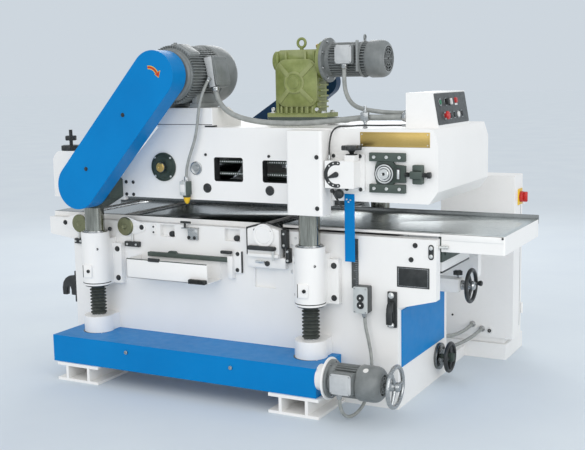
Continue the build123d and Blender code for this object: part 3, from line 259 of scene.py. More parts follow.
    def carve(self, cutter):
        """Takes another shape away."""
        meshes, objects = [], []
        for shape in (self, cutter):
            mesh = bpy.data.meshes.new("carved")
            shape.mesh.to_mesh(mesh)
            shape.mesh.free()
            meshes.append(mesh)
            objects.append(bpy.data.objects.new("carved", mesh))
            bpy.context.scene.collection.objects.link(objects[-1])
        cut = objects[0].modifiers.new("cut", "BOOLEAN")
        cut.operation = "DIFFERENCE"
        cut.solver = "EXACT"
        cut.object = objects[1]
        bpy.context.view_layer.update()
        graph = bpy.context.evaluated_depsgraph_get()
        done = bpy.data.meshes.new_from_object(objects[0].evaluated_get(graph))
        self.mesh = bmesh.new()
        self.mesh.from_mesh(done)
        for made in objects:
            bpy.data.objects.remove(made)
        for mesh in (*meshes, done):
            bpy.data.meshes.remove(mesh)
        return self


def shapes(count):
    """Several empty shapes."""
    return [Shape() for _ in range(count)]


def piece(name, shape, look, body, *nodes, slot=None):
    """Turns a shape into a piece of the object, which may stand for construction nodes.

    A slot is worked out from its look, unless one is named, but nothing uses it.
    """
    bmesh.ops.scale(shape.mesh, vec=(MM, MM, MM), verts=shape.mesh.verts)
    mesh = bpy.data.meshes.new(name)
    shape.mesh.to_mesh(mesh)
    shape.mesh.free()
    mesh.shade_smooth()
    mesh.set_sharp_from_angle(angle=SHARP)
    mesh.materials.append(look)
    made = bpy.data.objects.new(name, mesh)
    bpy.context.scene.collection.objects.link(made)
    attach(made, body)
    slot = slot or SLOT_OF.get(look.name)
    if nodes:
        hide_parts(*nodes)
    return made


def dress(node, look, soft=2.0, inset=0.0):
    """Keeps a construction node, with rounded edges and a finish.

    An inset frees a shaft from the facets of its bore.
    """
    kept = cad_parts[node]
    kept.data.materials.clear()
    kept.data.materials.append(look)
    if "custom_normal" in kept.data.attributes:
        kept.data.attributes.remove(kept.data.attributes["custom_normal"])
    kept.data.shade_smooth()
    weld = kept.modifiers.new("weld", "WELD")
    weld.merge_threshold = 0.02 * MM
    flat = kept.modifiers.new("flat", "DECIMATE")
    flat.decimate_type = "DISSOLVE"
    flat.angle_limit = math.radians(0.5)
    if soft:
        edge = kept.modifiers.new("edge", "BEVEL")
        edge.width = soft * MM
        edge.segments = 2
        edge.limit_method = "ANGLE"
        edge.angle_limit = SHARP
    if inset:
        inner = kept.modifiers.new("inset", "DISPLACE")
        inner.strength = -inset * MM
        inner.mid_level = 0
    normals = kept.modifiers.new("normals", "WEIGHTED_NORMAL")
    normals.weight = 50
    normals.keep_sharp = True


# Materials: tones, roughness and relief all come from noise in object space
class Finish:
    """A material and the nodes behind its shader."""

    def __init__(self, name, **constants):
        self.material = bpy.data.materials.new(name)
        self.material.use_nodes = True
        self.tree = self.material.node_tree
        self.shader = self.tree.nodes["Principled BSDF"]
        self.space = self.node("ShaderNodeTexCoord").outputs["Object"]
        for socket, value in constants.items():
            self.shader.inputs[socket.replace("_", " ")].default_value = value

    def node(self, kind, **settings):
        made = self.tree.nodes.new(kind)
        for setting, value in settings.items():
            setattr(made, setting, value)
        return made

    def link(self, source, target):
        self.tree.links.new(source, target)

    def noise(self, scale, detail=3.0, stretch=None, rough=0.55):
        """Noise, a number of lumps per metre, drawn out along the axes if asked."""
        made = self.node("ShaderNodeTexNoise")
        made.inputs["Scale"].default_value = scale
        made.inputs["Detail"].default_value = detail
        made.inputs["Roughness"].default_value = rough
        space = self.space
        if stretch:
            mapping = self.node("ShaderNodeMapping")
            mapping.inputs["Scale"].default_value = stretch
            self.link(space, mapping.inputs["Vector"])
            space = mapping.outputs["Vector"]
        self.link(space, made.inputs["Vector"])
        return made.outputs["Fac"]

    def ramp(self, source, *stops):
        """Colours at places along a number."""
        made = self.node("ShaderNodeValToRGB")
        elements = made.color_ramp.elements
        while len(elements) < len(stops):
            elements.new(0.5)
        for element, (place, colour) in zip(elements, stops):
            element.position = place
            element.color = (*colour, 1)
        self.link(source, made.inputs["Fac"])
        return made.outputs["Color"]

    def range(self, source, low, high, start=0.3, end=0.7):
        made = self.node("ShaderNodeMapRange")
        values = {"From Min": start, "From Max": end, "To Min": low, "To Max": high}
        for socket, value in values.items():
            made.inputs[socket].default_value = value
        self.link(source, made.inputs["Value"])
        return made.outputs["Result"]

    def blend(self, amount, under, over):
        """Colour that goes from one to another, which may be given or worked out."""
        made = self.node("ShaderNodeMix", data_type="RGBA")
        self.link(amount, made.inputs["Factor"])
        for socket, value in (("A", under), ("B", over)):
            target = [entry for entry in made.inputs if entry.name == socket and entry.type == "RGBA"][0]
            if isinstance(value, tuple):
                target.default_value = (*value, 1)
            else:
                self.link(value, target)
        return [entry for entry in made.outputs if entry.type == "RGBA"][0]

    def edges(self, sharp=0.54, width=0.05):
        """Number that is high along convex edges."""
        point = self.node("ShaderNodeNewGeometry").outputs["Pointiness"]
        return self.range(point, 0, 1, sharp, sharp + width)

    def relief(self, source, strength, depth, before=None):
        """Small bumps, depth in millimetres."""
        made = self.node("ShaderNodeBump")
        made.inputs["Strength"].default_value = strength
        made.inputs["Distance"].default_value = depth * MM
        self.link(source, made.inputs["Height"])
        if before:
            self.link(before, made.inputs["Normal"])
        self.link(made.outputs["Normal"], self.shader.inputs["Normal"])
        return made.outputs["Normal"]

    def wear(self, tone, rough):
        self.link(tone, self.shader.inputs["Base Color"])
        self.link(rough, self.shader.inputs["Roughness"])
        return self.material


def paint(name, dark, light, worn, gloss=0.5, rough=(0.28, 0.4), peel=0.06):
    """Sprayed gloss paint: faint orange peel, slow change of tone, wear along the edges."""
    finish = Finish(name, Specular_IOR_Level=gloss)
    tone = finish.ramp(finish.noise(3.0, 3), (0.3, dark), (0.7, light))
    edge = finish.edges()
    scuff = finish.node("ShaderNodeMath", operation="MULTIPLY")
    finish.link(edge, scuff.inputs[0])
    finish.link(finish.range(finish.noise(60, 4), 0, 0.1, 0.48, 0.68), scuff.inputs[1])
    tone = finish.blend(scuff.outputs[0], tone, worn)
    finish.relief(finish.noise(420, 2), peel, 0.2)
    return finish.wear(tone, finish.range(finish.noise(24, 4), *rough))


def casting(name, dark, light, worn, rough=(0.45, 0.62), grain=0.35, gloss=0.5):
    """Painted or bare casting: sandy skin, blotches and rubbed edges."""
    finish = Finish(name, Specular_IOR_Level=gloss)
    tone = finish.ramp(finish.noise(22, 6), (0.32, dark), (0.66, light))
    tone = finish.blend(finish.range(finish.edges(0.53, 0.06), 0, 0.55, 0, 1), tone, worn)
    finish.relief(finish.noise(380, 4), grain, 0.8)
    return finish.wear(tone, finish.range(finish.noise(70, 4), *rough))


def steel(name, dark, light, rough, stretch, scale=60, depth=0.12):
    """Machined metal with fine tool marks drawn out along one axis."""
    finish = Finish(name, Metallic=1.0)
    marks = finish.noise(scale, 6, stretch, 0.7)
    stains = finish.noise(7, 4)
    tone = finish.blend(finish.range(stains, 0, 0.5), finish.ramp(marks, (0.3, dark), (0.7, light)), dark)
    finish.relief(marks, depth, 0.15)
    return finish.wear(tone, finish.range(marks, *rough))


def plastic(name, dark, light, rough=(0.3, 0.45), grain=0.15):
    """Moulded plastic with a fine spark-eroded grain."""
    finish = Finish(name)
    tone = finish.ramp(finish.noise(35, 4), (0.3, dark), (0.7, light))
    finish.relief(finish.noise(1400, 2), grain, 0.12)
    return finish.wear(tone, finish.range(finish.noise(120, 3), *rough))


WHITE = paint("white_gloss_paint", (0.85, 0.845, 0.83), (0.88, 0.875, 0.86), (0.68, 0.68, 0.66))
BLUE = paint("blue_gloss_paint", (0.0, 0.19, 0.51), (0.0, 0.215, 0.56), (0.02, 0.25, 0.56), 0.12)
# The chain guard's dark navy is painted shade: it stands for blue paint lying in shade behind the reducer
SHADED_BLUE = paint("blue_paint_with_painted_shade", (0.006, 0.03, 0.075), (0.01, 0.045, 0.11), (0.03, 0.09, 0.18), 0.25)
GREY = casting("motor_grey_paint", (0.15, 0.165, 0.165), (0.21, 0.225, 0.225), (0.4, 0.42, 0.42),
               (0.3, 0.45), 0.2)
LID = plastic("light_grey_lid", (0.47, 0.49, 0.50), (0.55, 0.57, 0.58))
GREEN = casting("olive_casting", (0.17, 0.205, 0.05), (0.26, 0.30, 0.10), (0.36, 0.38, 0.2),
                (0.36, 0.5), 0.25)
OLIVE = steel("brushed_roller_cap", (0.19, 0.195, 0.11), (0.33, 0.33, 0.20), (0.24, 0.4), (14, 1, 1))
IRON = casting("dark_cast_iron", (0.022, 0.036, 0.029), (0.046, 0.066, 0.055), (0.15, 0.18, 0.165),
               gloss=0.25)
STEEL = steel("bright_turned_steel", (0.34, 0.35, 0.35), (0.62, 0.62, 0.61), (0.16, 0.34), (1, 1, 14))
# The columns' dark and light vertical streaks are painted reflections of the surroundings in the polished
# chrome
STREAKED_CHROME = steel("column_chrome_painted_reflections", (0.19, 0.195, 0.17), (0.50, 0.50, 0.45), (0.1, 0.2),
               (3.5, 3.5, 0.2), 40, 0.02)
DARK_STEEL = steel("dark_turned_steel", (0.13, 0.14, 0.14), (0.28, 0.29, 0.29), (0.2, 0.36), (14, 1, 1))
ZINC = steel("bright_zinc_plate", (0.66, 0.66, 0.64), (0.88, 0.88, 0.85), (0.25, 0.4), (1, 1, 14))
# Ground table steel in two copies: this pale one paints a bright reflection into the infeed table's colour
BRIGHT_REFLECTION_STEEL = steel("table_steel_painted_bright_reflection", (0.62, 0.65, 0.63), (0.78, 0.80, 0.78), (0.2, 0.34),
                    (1, 30, 30), 30)
# This dark copy paints the reflection of the dark underside into the outfeed table's colour
DARK_REFLECTION_STEEL = steel("table_steel_painted_dark_reflection", (0.06, 0.072, 0.066), (0.12, 0.135, 0.125), (0.08, 0.2), (1, 30, 30), 30)
BRASS = steel("brass_sheet", (0.50, 0.34, 0.10), (0.68, 0.50, 0.20), (0.28, 0.42), (1, 1, 24))
RUBBER = plastic("black_rubber", (0.03, 0.036, 0.032), (0.06, 0.068, 0.06), (0.5, 0.7), 0.4)
BLACK = plastic("black_moulding", (0.012, 0.014, 0.014), (0.03, 0.033, 0.033))
PANEL = plastic("dark_control_panel", (0.05, 0.055, 0.055), (0.085, 0.09, 0.09), (0.4, 0.55), 0.3)
RED = plastic("red_moulding", (0.42, 0.012, 0.012), (0.58, 0.03, 0.025), (0.22, 0.36))
GREEN_CAP = plastic("green_moulding", (0.0, 0.13, 0.05), (0.01, 0.22, 0.09), (0.22, 0.36))
YELLOW = plastic("yellow_moulding", (0.74, 0.44, 0.005), (0.84, 0.55, 0.02), (0.25, 0.4))
CONDUIT = plastic("grey_conduit", (0.24, 0.255, 0.245), (0.36, 0.375, 0.36), (0.38, 0.52), 0.2)
BOX_GREY = plastic("pale_grey_box", (0.46, 0.49, 0.49), (0.55, 0.58, 0.58), (0.34, 0.5))
CREAM = plastic("bare_white_label", (0.7, 0.7, 0.69), (0.78, 0.78, 0.76))

# Slot of each look; yellow has none, and the other looks only dress construction nodes
SLOTS = {
    "white_paint": (WHITE, CREAM), "motor_grey": (GREY, LID), "reducer_green": (GREEN,),
    "dark_casting": (OLIVE, IRON), "bright_steel": (STEEL, ZINC, BRASS, DARK_STEEL),
    "table_steel": (DARK_REFLECTION_STEEL, BRIGHT_REFLECTION_STEEL), "rubber_black": (RUBBER,), "black_plastic": (BLACK, PANEL),
    "red_plastic": (RED,), "green_plastic": (GREEN_CAP,), "conduit_grey": (CONDUIT, BOX_GREY),
}
SLOT_OF = {look.name: slot for slot, looks in SLOTS.items() for look in looks}

# Conduits: the same routes as the construction, in millimetres, then their radius and body
ROUTES = {
    "motor_conduit": ([(63.8, -315, 1537.9), (69.5, -315, 1505.5), (81, -315, 1474), (103, -315, 1443),
                       (136, -315, 1416), (185, -315, 1393), (255, -314, 1375), (340, -311, 1363),
                       (440, -307, 1359), (545, -303, 1359), (660, -300, 1366), (781, -297, 1379),
                       (885, -294, 1389), (955, -291, 1388), (1025, -284, 1390),
                       (1083, -284, 1390)], 14, "head"),
    "switch_conduit": ([(50, -348.2, 1582.8), (50, -363, 1568), (49, -379, 1549), (43, -394, 1521),
                        (30, -404, 1476), (18, -407, 1412), (8, -407, 1340), (-10, -406, 1272),
                        (-40, -405, 1205), (-69, -403, 1125), (-69, -403, 1068)], 8, "head"),
    "feed_conduit": ([(678, -93, 1640), (678, -93, 1602), (682, -102, 1560), (696, -123, 1514),
                      (727, -155, 1473), (775, -199, 1442), (840, -245, 1426), (900, -268, 1419),
                      (962, -265, 1411), (1028, -254, 1408), (1083, -254, 1408)], 11, "head"),
    "gauge_cable": ([(1083, -285, 1352), (1025, -285, 1352), (955, -318, 1352), (885, -342, 1354),
                     (820, -352, 1350), (772, -382, 1350), (756, -410, 1325), (751, -424, 1275),
                     (752, -430, 1236), (752, -430, 1196)], 4, "head"),
    "lift_conduit": ([(902, -375, 468), (902, -375, 415), (922, -379, 340), (942, -388, 262),
                      (951, -404, 185), (951, -440, 112), (945.5, -487.7, 57.7), (934, -533, 29.5),
                      (922.2, -577.9, 21.7), (911.8, -618, 31), (903.8, -649, 63), (900, -664, 112),
                      (900, -664, 150)], 8.5, "base"),
    "upper_cabinet_conduit": ([(1096, 690, 188), (1096, 640, 188), (1080, 578, 172), (1052, 510, 162),
                               (1024, 445, 168), (1008, 388, 182), (1008, 345, 182)], 10, "base"),
    "lower_cabinet_conduit": ([(1150, 690, 166), (1150, 640, 166), (1136, 575, 150), (1106, 518, 131),
                               (1072, 458, 119), (1044, 392, 116), (1044, 345, 116)], 10, "base"),
}
RIB_PITCH, RIB_DEPTH = 7.0, 0.9
THIN_CABLE = 5


def smooth_line(points):
    """Points along the smooth curve that a route's points control."""
    curve = bpy.data.curves.new("route", "CURVE")
    curve.dimensions = "3D"
    curve.resolution_u = 16
    spline = curve.splines.new("NURBS")
    spline.points.add(len(points) - 1)
    for control, point in zip(spline.points, points):
        control.co = (*point, 1)
    spline.order_u = 3
    spline.use_endpoint_u = True
    holder = bpy.data.objects.new("route", curve)
    line = bpy.data.meshes.new_from_object(holder)
    found = [vertex.co.copy() for vertex in line.vertices]
    bpy.data.objects.remove(holder)
    bpy.data.meshes.remove(line)
    bpy.data.curves.remove(curve)
    return found


def evenly(points, step):
    """Points at an even spacing along a line, both ends kept."""
    total = sum((b - a).length for a, b in zip(points, points[1:]))
    count = max(2, round(total / step))
    wanted = [total * part / count for part in range(1, count)]
    found, walked = [points[0]], 0.0
    for a, b in zip(points, points[1:]):
        run = (b - a).length
        while wanted and walked + run >= wanted[0]:
            found.append(a.lerp(b, (wanted.pop(0) - walked) / run))
        walked += run
    return found + [points[-1]], total


def conduit(name, points, radius, body):
    """Flexible conduit with fine ribs along its smooth line; the thin cable stays plain."""
    thin = radius < THIN_CABLE
    depth = 0 if thin else RIB_DEPTH / 2
    line, length = evenly(smooth_line(points), RIB_PITCH / 4)
    wave = [radius - depth * (1 - math.cos(math.pi * step / 2)) for step in range(len(line))]
    shape = Shape()
    shape.tube(line, wave, 12)
    made = piece(name, shape, BLACK if thin else CONDUIT, body, slot="conduit_grey")
    return made


def gland(shape, end, inner, radius):
    """Screwed fitting where a conduit enters a box: hexagon, then a tapered sleeve."""
    along = (Vector(inner) - Vector(end)).normalized()
    bore, flats, sleeve = radius + 0.4, radius * 1.75, radius * 1.5
    profile = [(bore, 0), (flats, 0), (flats, 7), (sleeve, 8), (sleeve, 16), (radius + 1.5, 24), (bore, 24)]
    shape.turned(end, along, profile, 18, 0.5, ring=True)


cords = {name: conduit(name, *route) for name, route in ROUTES.items()}
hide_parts("head_conduits")
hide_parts("base_conduits")
for body in ("head", "base"):
    glands = Shape()
    for points, radius, owner in ROUTES.values():
        if owner == body:
            gland(glands, points[0], points[1], radius)
            gland(glands, points[-1], points[-2], radius)
    piece(f"{body}_conduit_glands", glands, STEEL, body)


# Electric motors
FIN_PITCH, FIN_HEIGHT = 15, 13


def motor(name, face, along, side, flange, barrel, cover, terminal, body, lid_look=LID):
    """Finned motor: flange, barrel and fan cover as (radius, length), and its terminal box.

    The terminal box is its middle along the motor, shift across, width, length, lid's height and depth.
    A flange smaller than the barrel is an end shield, with the fins running up to it.
    """
    along, side = Vector(along), Vector(side)
    place = Matrix((along.cross(side), side, along)).transposed().to_4x4()
    place.translation = Vector(face)
    casing, bolts, vents, lids = shapes(4)
    radius = barrel[0]
    start, stop = flange[1], flange[1] + barrel[1]
    end = stop + cover[1]
    core = radius - FIN_HEIGHT
    if flange[0] < radius:
        nose = [(0, 6), (flange[0] * 0.7, 6), (flange[0] * 0.84, 0), (flange[0] * 0.95, 3), (flange[0], 12),
                (flange[0], start), (core, start + 2)]
        fin_start = start + 3
    else:
        nose = [(0, 0), (flange[0], 0), (flange[0], start), (radius * 0.96, start + 2),
                (radius * 0.98, start + 26), (core, start + 30)]
        fin_start = start + 20
    tail = [(core, stop - 14), (radius, stop - 12), (radius, stop), (0, stop)]
    casing.turned((0, 0, 0), UP, nose + tail, 56, 1.2)
    fins = round(2 * math.pi * radius / FIN_PITCH)
    for step in range(fins):
        fin = Shape()
        fin.block((core - 2, radius), (-2.2, 2.2), (fin_start, stop - 10), soft=0.7)
        fin.place(Matrix.Rotation(2 * math.pi * (step + 0.5) / fins, 4, "Z"))
        casing.take(fin.mesh)
    grille = cover[0] * 0.7
    dome = min(cover[1] * 0.42, 64)
    shoulder = [(cover[0] - dome * 0.8 * (1 - math.cos(a)), end - dome + dome * math.sin(a))
                for a in (math.pi / 2 * step / 6 for step in range(7))]
    lip = [(grille, stop - 4), (cover[0] - 2, stop - 4), (cover[0], stop)]
    casing.turned((0, 0, 0), UP, lip + shoulder + [(grille, end)], 56, ring=True)
    for ring in (0.18, 0.4, 0.62, 0.84):
        casing.torus((0, 0, end - 3), UP, grille * ring, 2.2, 40, 8)
    for step in range(8):
        bar = Shape()
        bar.block((grille * 0.15, grille), (-2, 2), (end - 6, end - 2), soft=0.6)
        bar.place(Matrix.Rotation(math.pi / 4 * step, 4, "Z"))
        casing.take(bar.mesh)
    fan = [(0, 0), (grille + 1, 0), (grille + 1, 6), (grille * 0.3, 6), (grille * 0.25, 9), (0, 9)]
    vents.turned((0, 0, end - 16), UP, fan)
    for step in range(8):
        turn = math.pi / 4 * (step + 0.5)
        spot = (flange[0] * 0.88 * math.cos(turn), flange[0] * 0.88 * math.sin(turn), start)
        bolts.hex_bolt(spot, UP, flange[0] * 0.06)
    if terminal:
        middle, shift, width, length, top, depth = terminal
        neck = rounded((shift / 2, middle), width * 0.6, length * 0.7, 8)
        casing.prism(rounded((shift, middle), width, length, 8), (top - depth, top - 13), soft=1.5)
        casing.prism(neck, (core * 0.8, top - 20), soft=1)
        vents.prism(rounded((shift, middle), width * 0.9, length * 0.9, 10), (top - 13, top - 10), soft=0.5)
        lids.prism(rounded((shift, middle), width * 0.94, length * 0.94, 14), (top - 10, top - 2), soft=3)
        lids.prism(rounded((shift, middle), width * 0.7, length * 0.7, 10), (top - 3, top), soft=2)
        for x in SIDES:
            for z in SIDES:
                spot = (shift + x * width * 0.4, top - 2.5, middle + z * length * 0.4)
                bolts.cap_screw(spot, BACK, 3)
    parts = ((casing, "casing", GREY, [name]), (bolts, "bolts", STEEL, []), (vents, "vents", BLACK, []),
             (lids, "lid", lid_look, []))
    for shape, part, look, nodes in parts:
        if len(shape.mesh.verts):
            piece(f"{name}_{part}", shape.place(place), look, body, *nodes)


# Middle lines of the motors and where their mounting faces are
LOWER_X, _, LOWER_Z = middle_of("lower_cutterhead")
LOWER_FACE = span_of("lower_motor")[1][0]
LIFT_AT = (815, middle_of("lift_handwheel")[1], 190)
FEED_FACE, FEED_Y, WORM_Z = span_of("feed_motor")[0][0], 5, middle_of("feed_motor")[2]
MOTOR_X, MOTOR_Y, MOTOR_Z = -110, span_of("main_motor")[1][0], middle_of("main_motor_rotor")[2]
TILT = math.radians(10)
motor("lift_motor", LIFT_AT, RIGHT, FRONT, (91, 16), (78, 147), (84, 106),
      (98, -11, 102, 112, 112, 50), "base")
motor("lower_motor", (LOWER_X, LOWER_FACE, LOWER_Z), BACK, RIGHT, (112, 16), (98, 210), (104, 90),
      None, "base")
motor("feed_motor", (FEED_FACE, FEED_Y, WORM_Z), RIGHT, FRONT, (112, 16), (86, 233), (92, 86),
      (142, -24, 96, 96, 126, 52), "head")
motor("main_motor", (MOTOR_X, MOTOR_Y, MOTOR_Z), BACK, (math.cos(TILT), 0, math.sin(TILT)),
      (128, 24), (146, 280), (152, 166), (219, 15, 158, 148, 184, 48), "head", GREY)

# Main motor's feet, lifting lug and seat pad
LUG_Y = -400
PAD_TURN = math.radians(32)
feet, pad = shapes(2)
for side in SIDES:
    feet.block(around(MOTOR_X + side * 87, 28), (-376, -190), (1437, 1459), soft=3)
    feet.block(around(MOTOR_X + side * 85, 15), (-372, -194), (1455, 1527), soft=3)
feet.block(around(MOTOR_X, 14), around(LUG_Y, 20), (1736, 1757), soft=4)
feet.disc((MOTOR_X, LUG_Y, 1755), UP, 9, 8)
piece("main_motor_feet", feet, GREY, "head")
pad.block((-46, 46), (-46, 46), (118, 152), soft=3)
pad.block((-38, 38), (-38, 38), (151, 156), soft=1.5)
pad.place(Matrix.Translation((MOTOR_X, LUG_Y, MOTOR_Z)) @ Matrix.Rotation(PAD_TURN, 4, "Y"))
piece("main_motor_pad", pad, GREY, "head")

# End of the main motor's terminal box, the feed motor's strap with its eye, the lift motor's adapter and cap
TERMINAL_END = (52, -335, 1616)
STRAP_X = 742
EYE_X = STRAP_X + 6
LIFT_CAP_AT, LIFT_CAP_FACING = (1012, -616, 261), (0, -0.5, 0.866)
end_panel, strap, adapter, label = shapes(4)
end_panel.prism([(-24, 74), (20, 74), (13, -76), (-17, -76)], (-4, 1), soft=2)
end_panel.place(Matrix.Translation(TERMINAL_END) @ Matrix.Rotation(-TILT, 4, "Y"))
piece("terminal_end_panel", end_panel, LID, "head")
strap.collar((STRAP_X, FEED_Y, WORM_Z), RIGHT, 90.5, 85, 12, soft=1.5)
strap.block((STRAP_X, STRAP_X + 10), (FEED_Y - 104, FEED_Y - 84), (WORM_Z - 60, WORM_Z + 92), soft=2)
strap.torus((EYE_X, FEED_Y, WORM_Z + 108), RIGHT, 11, 4, 24, 10)
strap.tube([(EYE_X, FEED_Y, WORM_Z + 84), (EYE_X, FEED_Y, WORM_Z + 98)], 7)
piece("feed_motor_strap", strap, GREY, "head")
adapter.turned(LIFT_AT, LEFT, [(0, -2), (100, -2), (100, 8), (62, 10), (62, 55), (0, 55)], 48, 1.5)
cap_profile = [(0, 0), (13, 0), (13, 2), (11, 3), (9, 3), (8, 2), (0, 2)]
label.turned(LIFT_CAP_AT, LIFT_CAP_FACING, cap_profile, 28)
piece("lift_motor_adapter", adapter, WHITE, "base")
piece("lift_motor_label", label, CREAM, "base")

# Construction nodes that keep their shape, with the rounding of their edges and the inset of shafts
WHITE_NODES = ("base_frame", "feet", "gear_housings", "column_sleeves", "electrical_cabinet",
               "head_side_plates", "head_top_cover", "infeed_hood", "outfeed_hood", "right_column_brackets",
               "control_box", "gauge_box", "outfeed_table", "infeed_table")
STEEL_NODES = ("main_motor_rotor", "lower_cutterhead", "reducer_shaft", "track_drive_shaft", "track_idler")
for nodes, look, soft, inset in (
        (WHITE_NODES, WHITE, 2, 0),
        (("base_end_panel", "lift_guards", "belt_guard", "hanging_strip"), BLUE, 1.5, 0),
        # the chain guard's navy is painted shade
        (("chain_guard",), SHADED_BLUE, 1.5, 0),
        (("left_column_brackets", "track_pads"), IRON, 2, 0),
        # the columns' vertical streaks are painted reflections
        (("columns",), STREAKED_CHROME, 0.8, 0),
        (STEEL_NODES, STEEL, 0.8, 0),
        (("upper_cutterhead", "bed_roller_left", "bed_roller_right"), STEEL, 0.8, 0.5),
        (("worm_reducer",), GREEN, 0.8, 0),
        (("drive_belt_and_chain",), RUBBER, 0.8, 0)):
    for node in nodes:
        dress(node, look, soft, inset)

# Screw bellows: deep soft folds with a clamp band at each end
COLUMN_X, COLUMN_Y = 645, 435
FOLDS, FOLD_STEPS = 9, 10
FOLD_MIDDLE, FOLD_DEPTH, FOLD_WALL = 38.5, 5.5, 3.5
CUFF_OUTER, CUFF_INNER, CUFF_HEIGHT = 35, 28, 4
BAND_HEIGHT = 5
low, high = span_of("screw_bellows")[2]
pitch = (high - low - 2 * CUFF_HEIGHT) / FOLDS
outer = []
for step in range(FOLDS * FOLD_STEPS + 1):
    wave = math.cos(2 * math.pi * step / FOLD_STEPS)
    outer.append((FOLD_MIDDLE - FOLD_DEPTH * wave, low + CUFF_HEIGHT + pitch * step / FOLD_STEPS))
inner = [(radius - FOLD_WALL, z) for radius, z in reversed(outer)]
profile = [(CUFF_OUTER, low), *outer, (CUFF_OUTER, high), (CUFF_INNER, high), *inner, (CUFF_INNER, low)]
bellows, bands = shapes(2)
for x in (-COLUMN_X, COLUMN_X):
    for y in (-COLUMN_Y, COLUMN_Y):
        bellows.turned((x, y, 0), UP, profile, ring=True)
        for z in (low, high - BAND_HEIGHT):
            bands.collar((x, y, z), UP, 37, 33, BAND_HEIGHT, soft=0.5)
piece("bellows", bellows, RUBBER, "base", "screw_bellows")
piece("bellows_bands", bands, STEEL, "base")

# Ground face of the outfeed table, open over the bed rollers
ROLLER_X, ROLLER_Z = (-816, -505), 805
FACE_INSET, FACE_RISE = 2, 0.8


def table_face(node):
    """Ground plate a little smaller than a table's top, and a little above it."""
    (left, right), (front, back), (_, top) = span_of(node)
    shape = Shape()
    shape.block((left + FACE_INSET, right - FACE_INSET), (front + FACE_INSET, back - FACE_INSET),
                (top - 1, top + FACE_RISE), soft=0.4)
    return shape


face, slots = table_face("outfeed_table"), Shape()
for x in ROLLER_X:
    slots.block(around(x, 57), (-274, 274), (850, 870), soft=0)
# The outfeed face's dark steel is a painted dark reflection
piece("outfeed_table_face", face.carve(slots), DARK_REFLECTION_STEEL, "base")

# Infeed table: ground face with sunk screws, front strip under a dark joint, and below it a dark bolted plate
# on the guide that paints the shade under the table
GUIDE_X, GUIDE_Y = (1207, 1228), (-206, 206)
sunk_screw = [(0, 0), (6.8, 0), (6.8, 1.6), (3.4, 1.6), (3, 0.8), (0, 0.8)]
face = table_face("infeed_table")
holes, strip, joint, shade_plate = shapes(4)
for x in (470, 990, 1515):
    for y in (-266, 266):
        holes.disc((x, y, 850), UP, 7, 20, soft=0)
        joint.turned((x, y, 856.5), UP, sunk_screw, 24)
# The infeed face's pale steel is a painted bright reflection
piece("infeed_table_face", face.carve(holes), BRIGHT_REFLECTION_STEEL, "infeed_table")
strip.block((432, 1250), (-304.5, -299), (843, 856), soft=2)
strip.block((1258, 1549), (-304.5, -299), (827, 856), soft=2)
joint.block((432, 1549), (-303, -299.4), (855.6, 857.4), soft=0.4)
joint.cap_screw((1546, -304, 850), FRONT, 5)
strip.block((1207, 1229), (-207, 207), (660, 704), soft=2)
# Painted shade: the dark plate on the guide's face stands for the shade under the table
shade_plate.block(GUIDE_X, GUIDE_Y, (703, 841), soft=2)
for y in (-160, 0, 160):
    shade_plate.hex_bolt((1227.5, y, 740), RIGHT, 8)
joint.block(GUIDE_X, GUIDE_Y, (651, 661), soft=1)
piece("infeed_front_strip", strip, WHITE, "infeed_table")
piece("infeed_joints", joint, BLACK, "infeed_table")
piece("infeed_painted_shade_plate", shade_plate, IRON, "infeed_table")

# Bolts of the base are gathered in two shapes through the sections that follow
dark_bolts, bright = shapes(2)

# Column sleeves: wiper rings, clamp bosses and flange bolts, and a thin black ring on the guard round each
# gear housing that paints the shade in the gap there
SLEEVE_BOTTOM, SLEEVE_TOP = span_of("column_sleeves")[2]
_, (_, GUARD_SIDE), (_, GUARD_TOP) = span_of("lift_guards")
BOSS_Z = 576
wipers_and_gap_shade, rings, bosses = shapes(3)
for x in (-COLUMN_X, COLUMN_X):
    for side in SIDES:
        out = BACK * side
        y = side * COLUMN_Y
        rings.collar((x, y, SLEEVE_TOP - 1), UP, 62, 52.8, 9, soft=1.5)
        wipers_and_gap_shade.collar((x, y, SLEEVE_BOTTOM - 7), UP, 66, 46, 8)
        wipers_and_gap_shade.collar((x, y, SLEEVE_BOTTOM + 10), UP, 75.6, 70, 5, soft=0.6)
        rings.collar((x, y, SLEEVE_TOP - 1), UP, 70, 63.5, 4, soft=0.8)
        # Painted shade: a thin black ring on the guard's top where the gap round the housing lies in shade
        wipers_and_gap_shade.collar((x - 4, side * (COLUMN_Y + 2), GUARD_TOP - 1), UP, 83, 60, 1.6, soft=0.4)
        bosses.prism(rounded((x - 4, BOSS_Z), 62, 70, 10), across(side, COLUMN_Y + 60, COLUMN_Y + 81), soft=4)
        wipers_and_gap_shade.block((x - 30, x - 26), across(side, COLUMN_Y + 66, COLUMN_Y + 81.6), around(BOSS_Z, 33), 0.4)
        dark_bolts.cap_screw((x + 8, side * (COLUMN_Y + 80.5), BOSS_Z + 2), out, 9)
        for bolt_x in around(x, 100):
            for z in (526, 684):
                dark_bolts.hex_bolt((bolt_x, side * (WALL + 34.5), z), out, 11)
        dark_bolts.cap_screw((x + 52, side * (COLUMN_Y + 52), 696), out, 6)
piece("sleeve_black_rings_and_gap_shade", wipers_and_gap_shade, BLACK, "base")
piece("sleeve_rings", rings, STEEL, "base")
piece("sleeve_clamp_bosses", bosses, WHITE, "base")

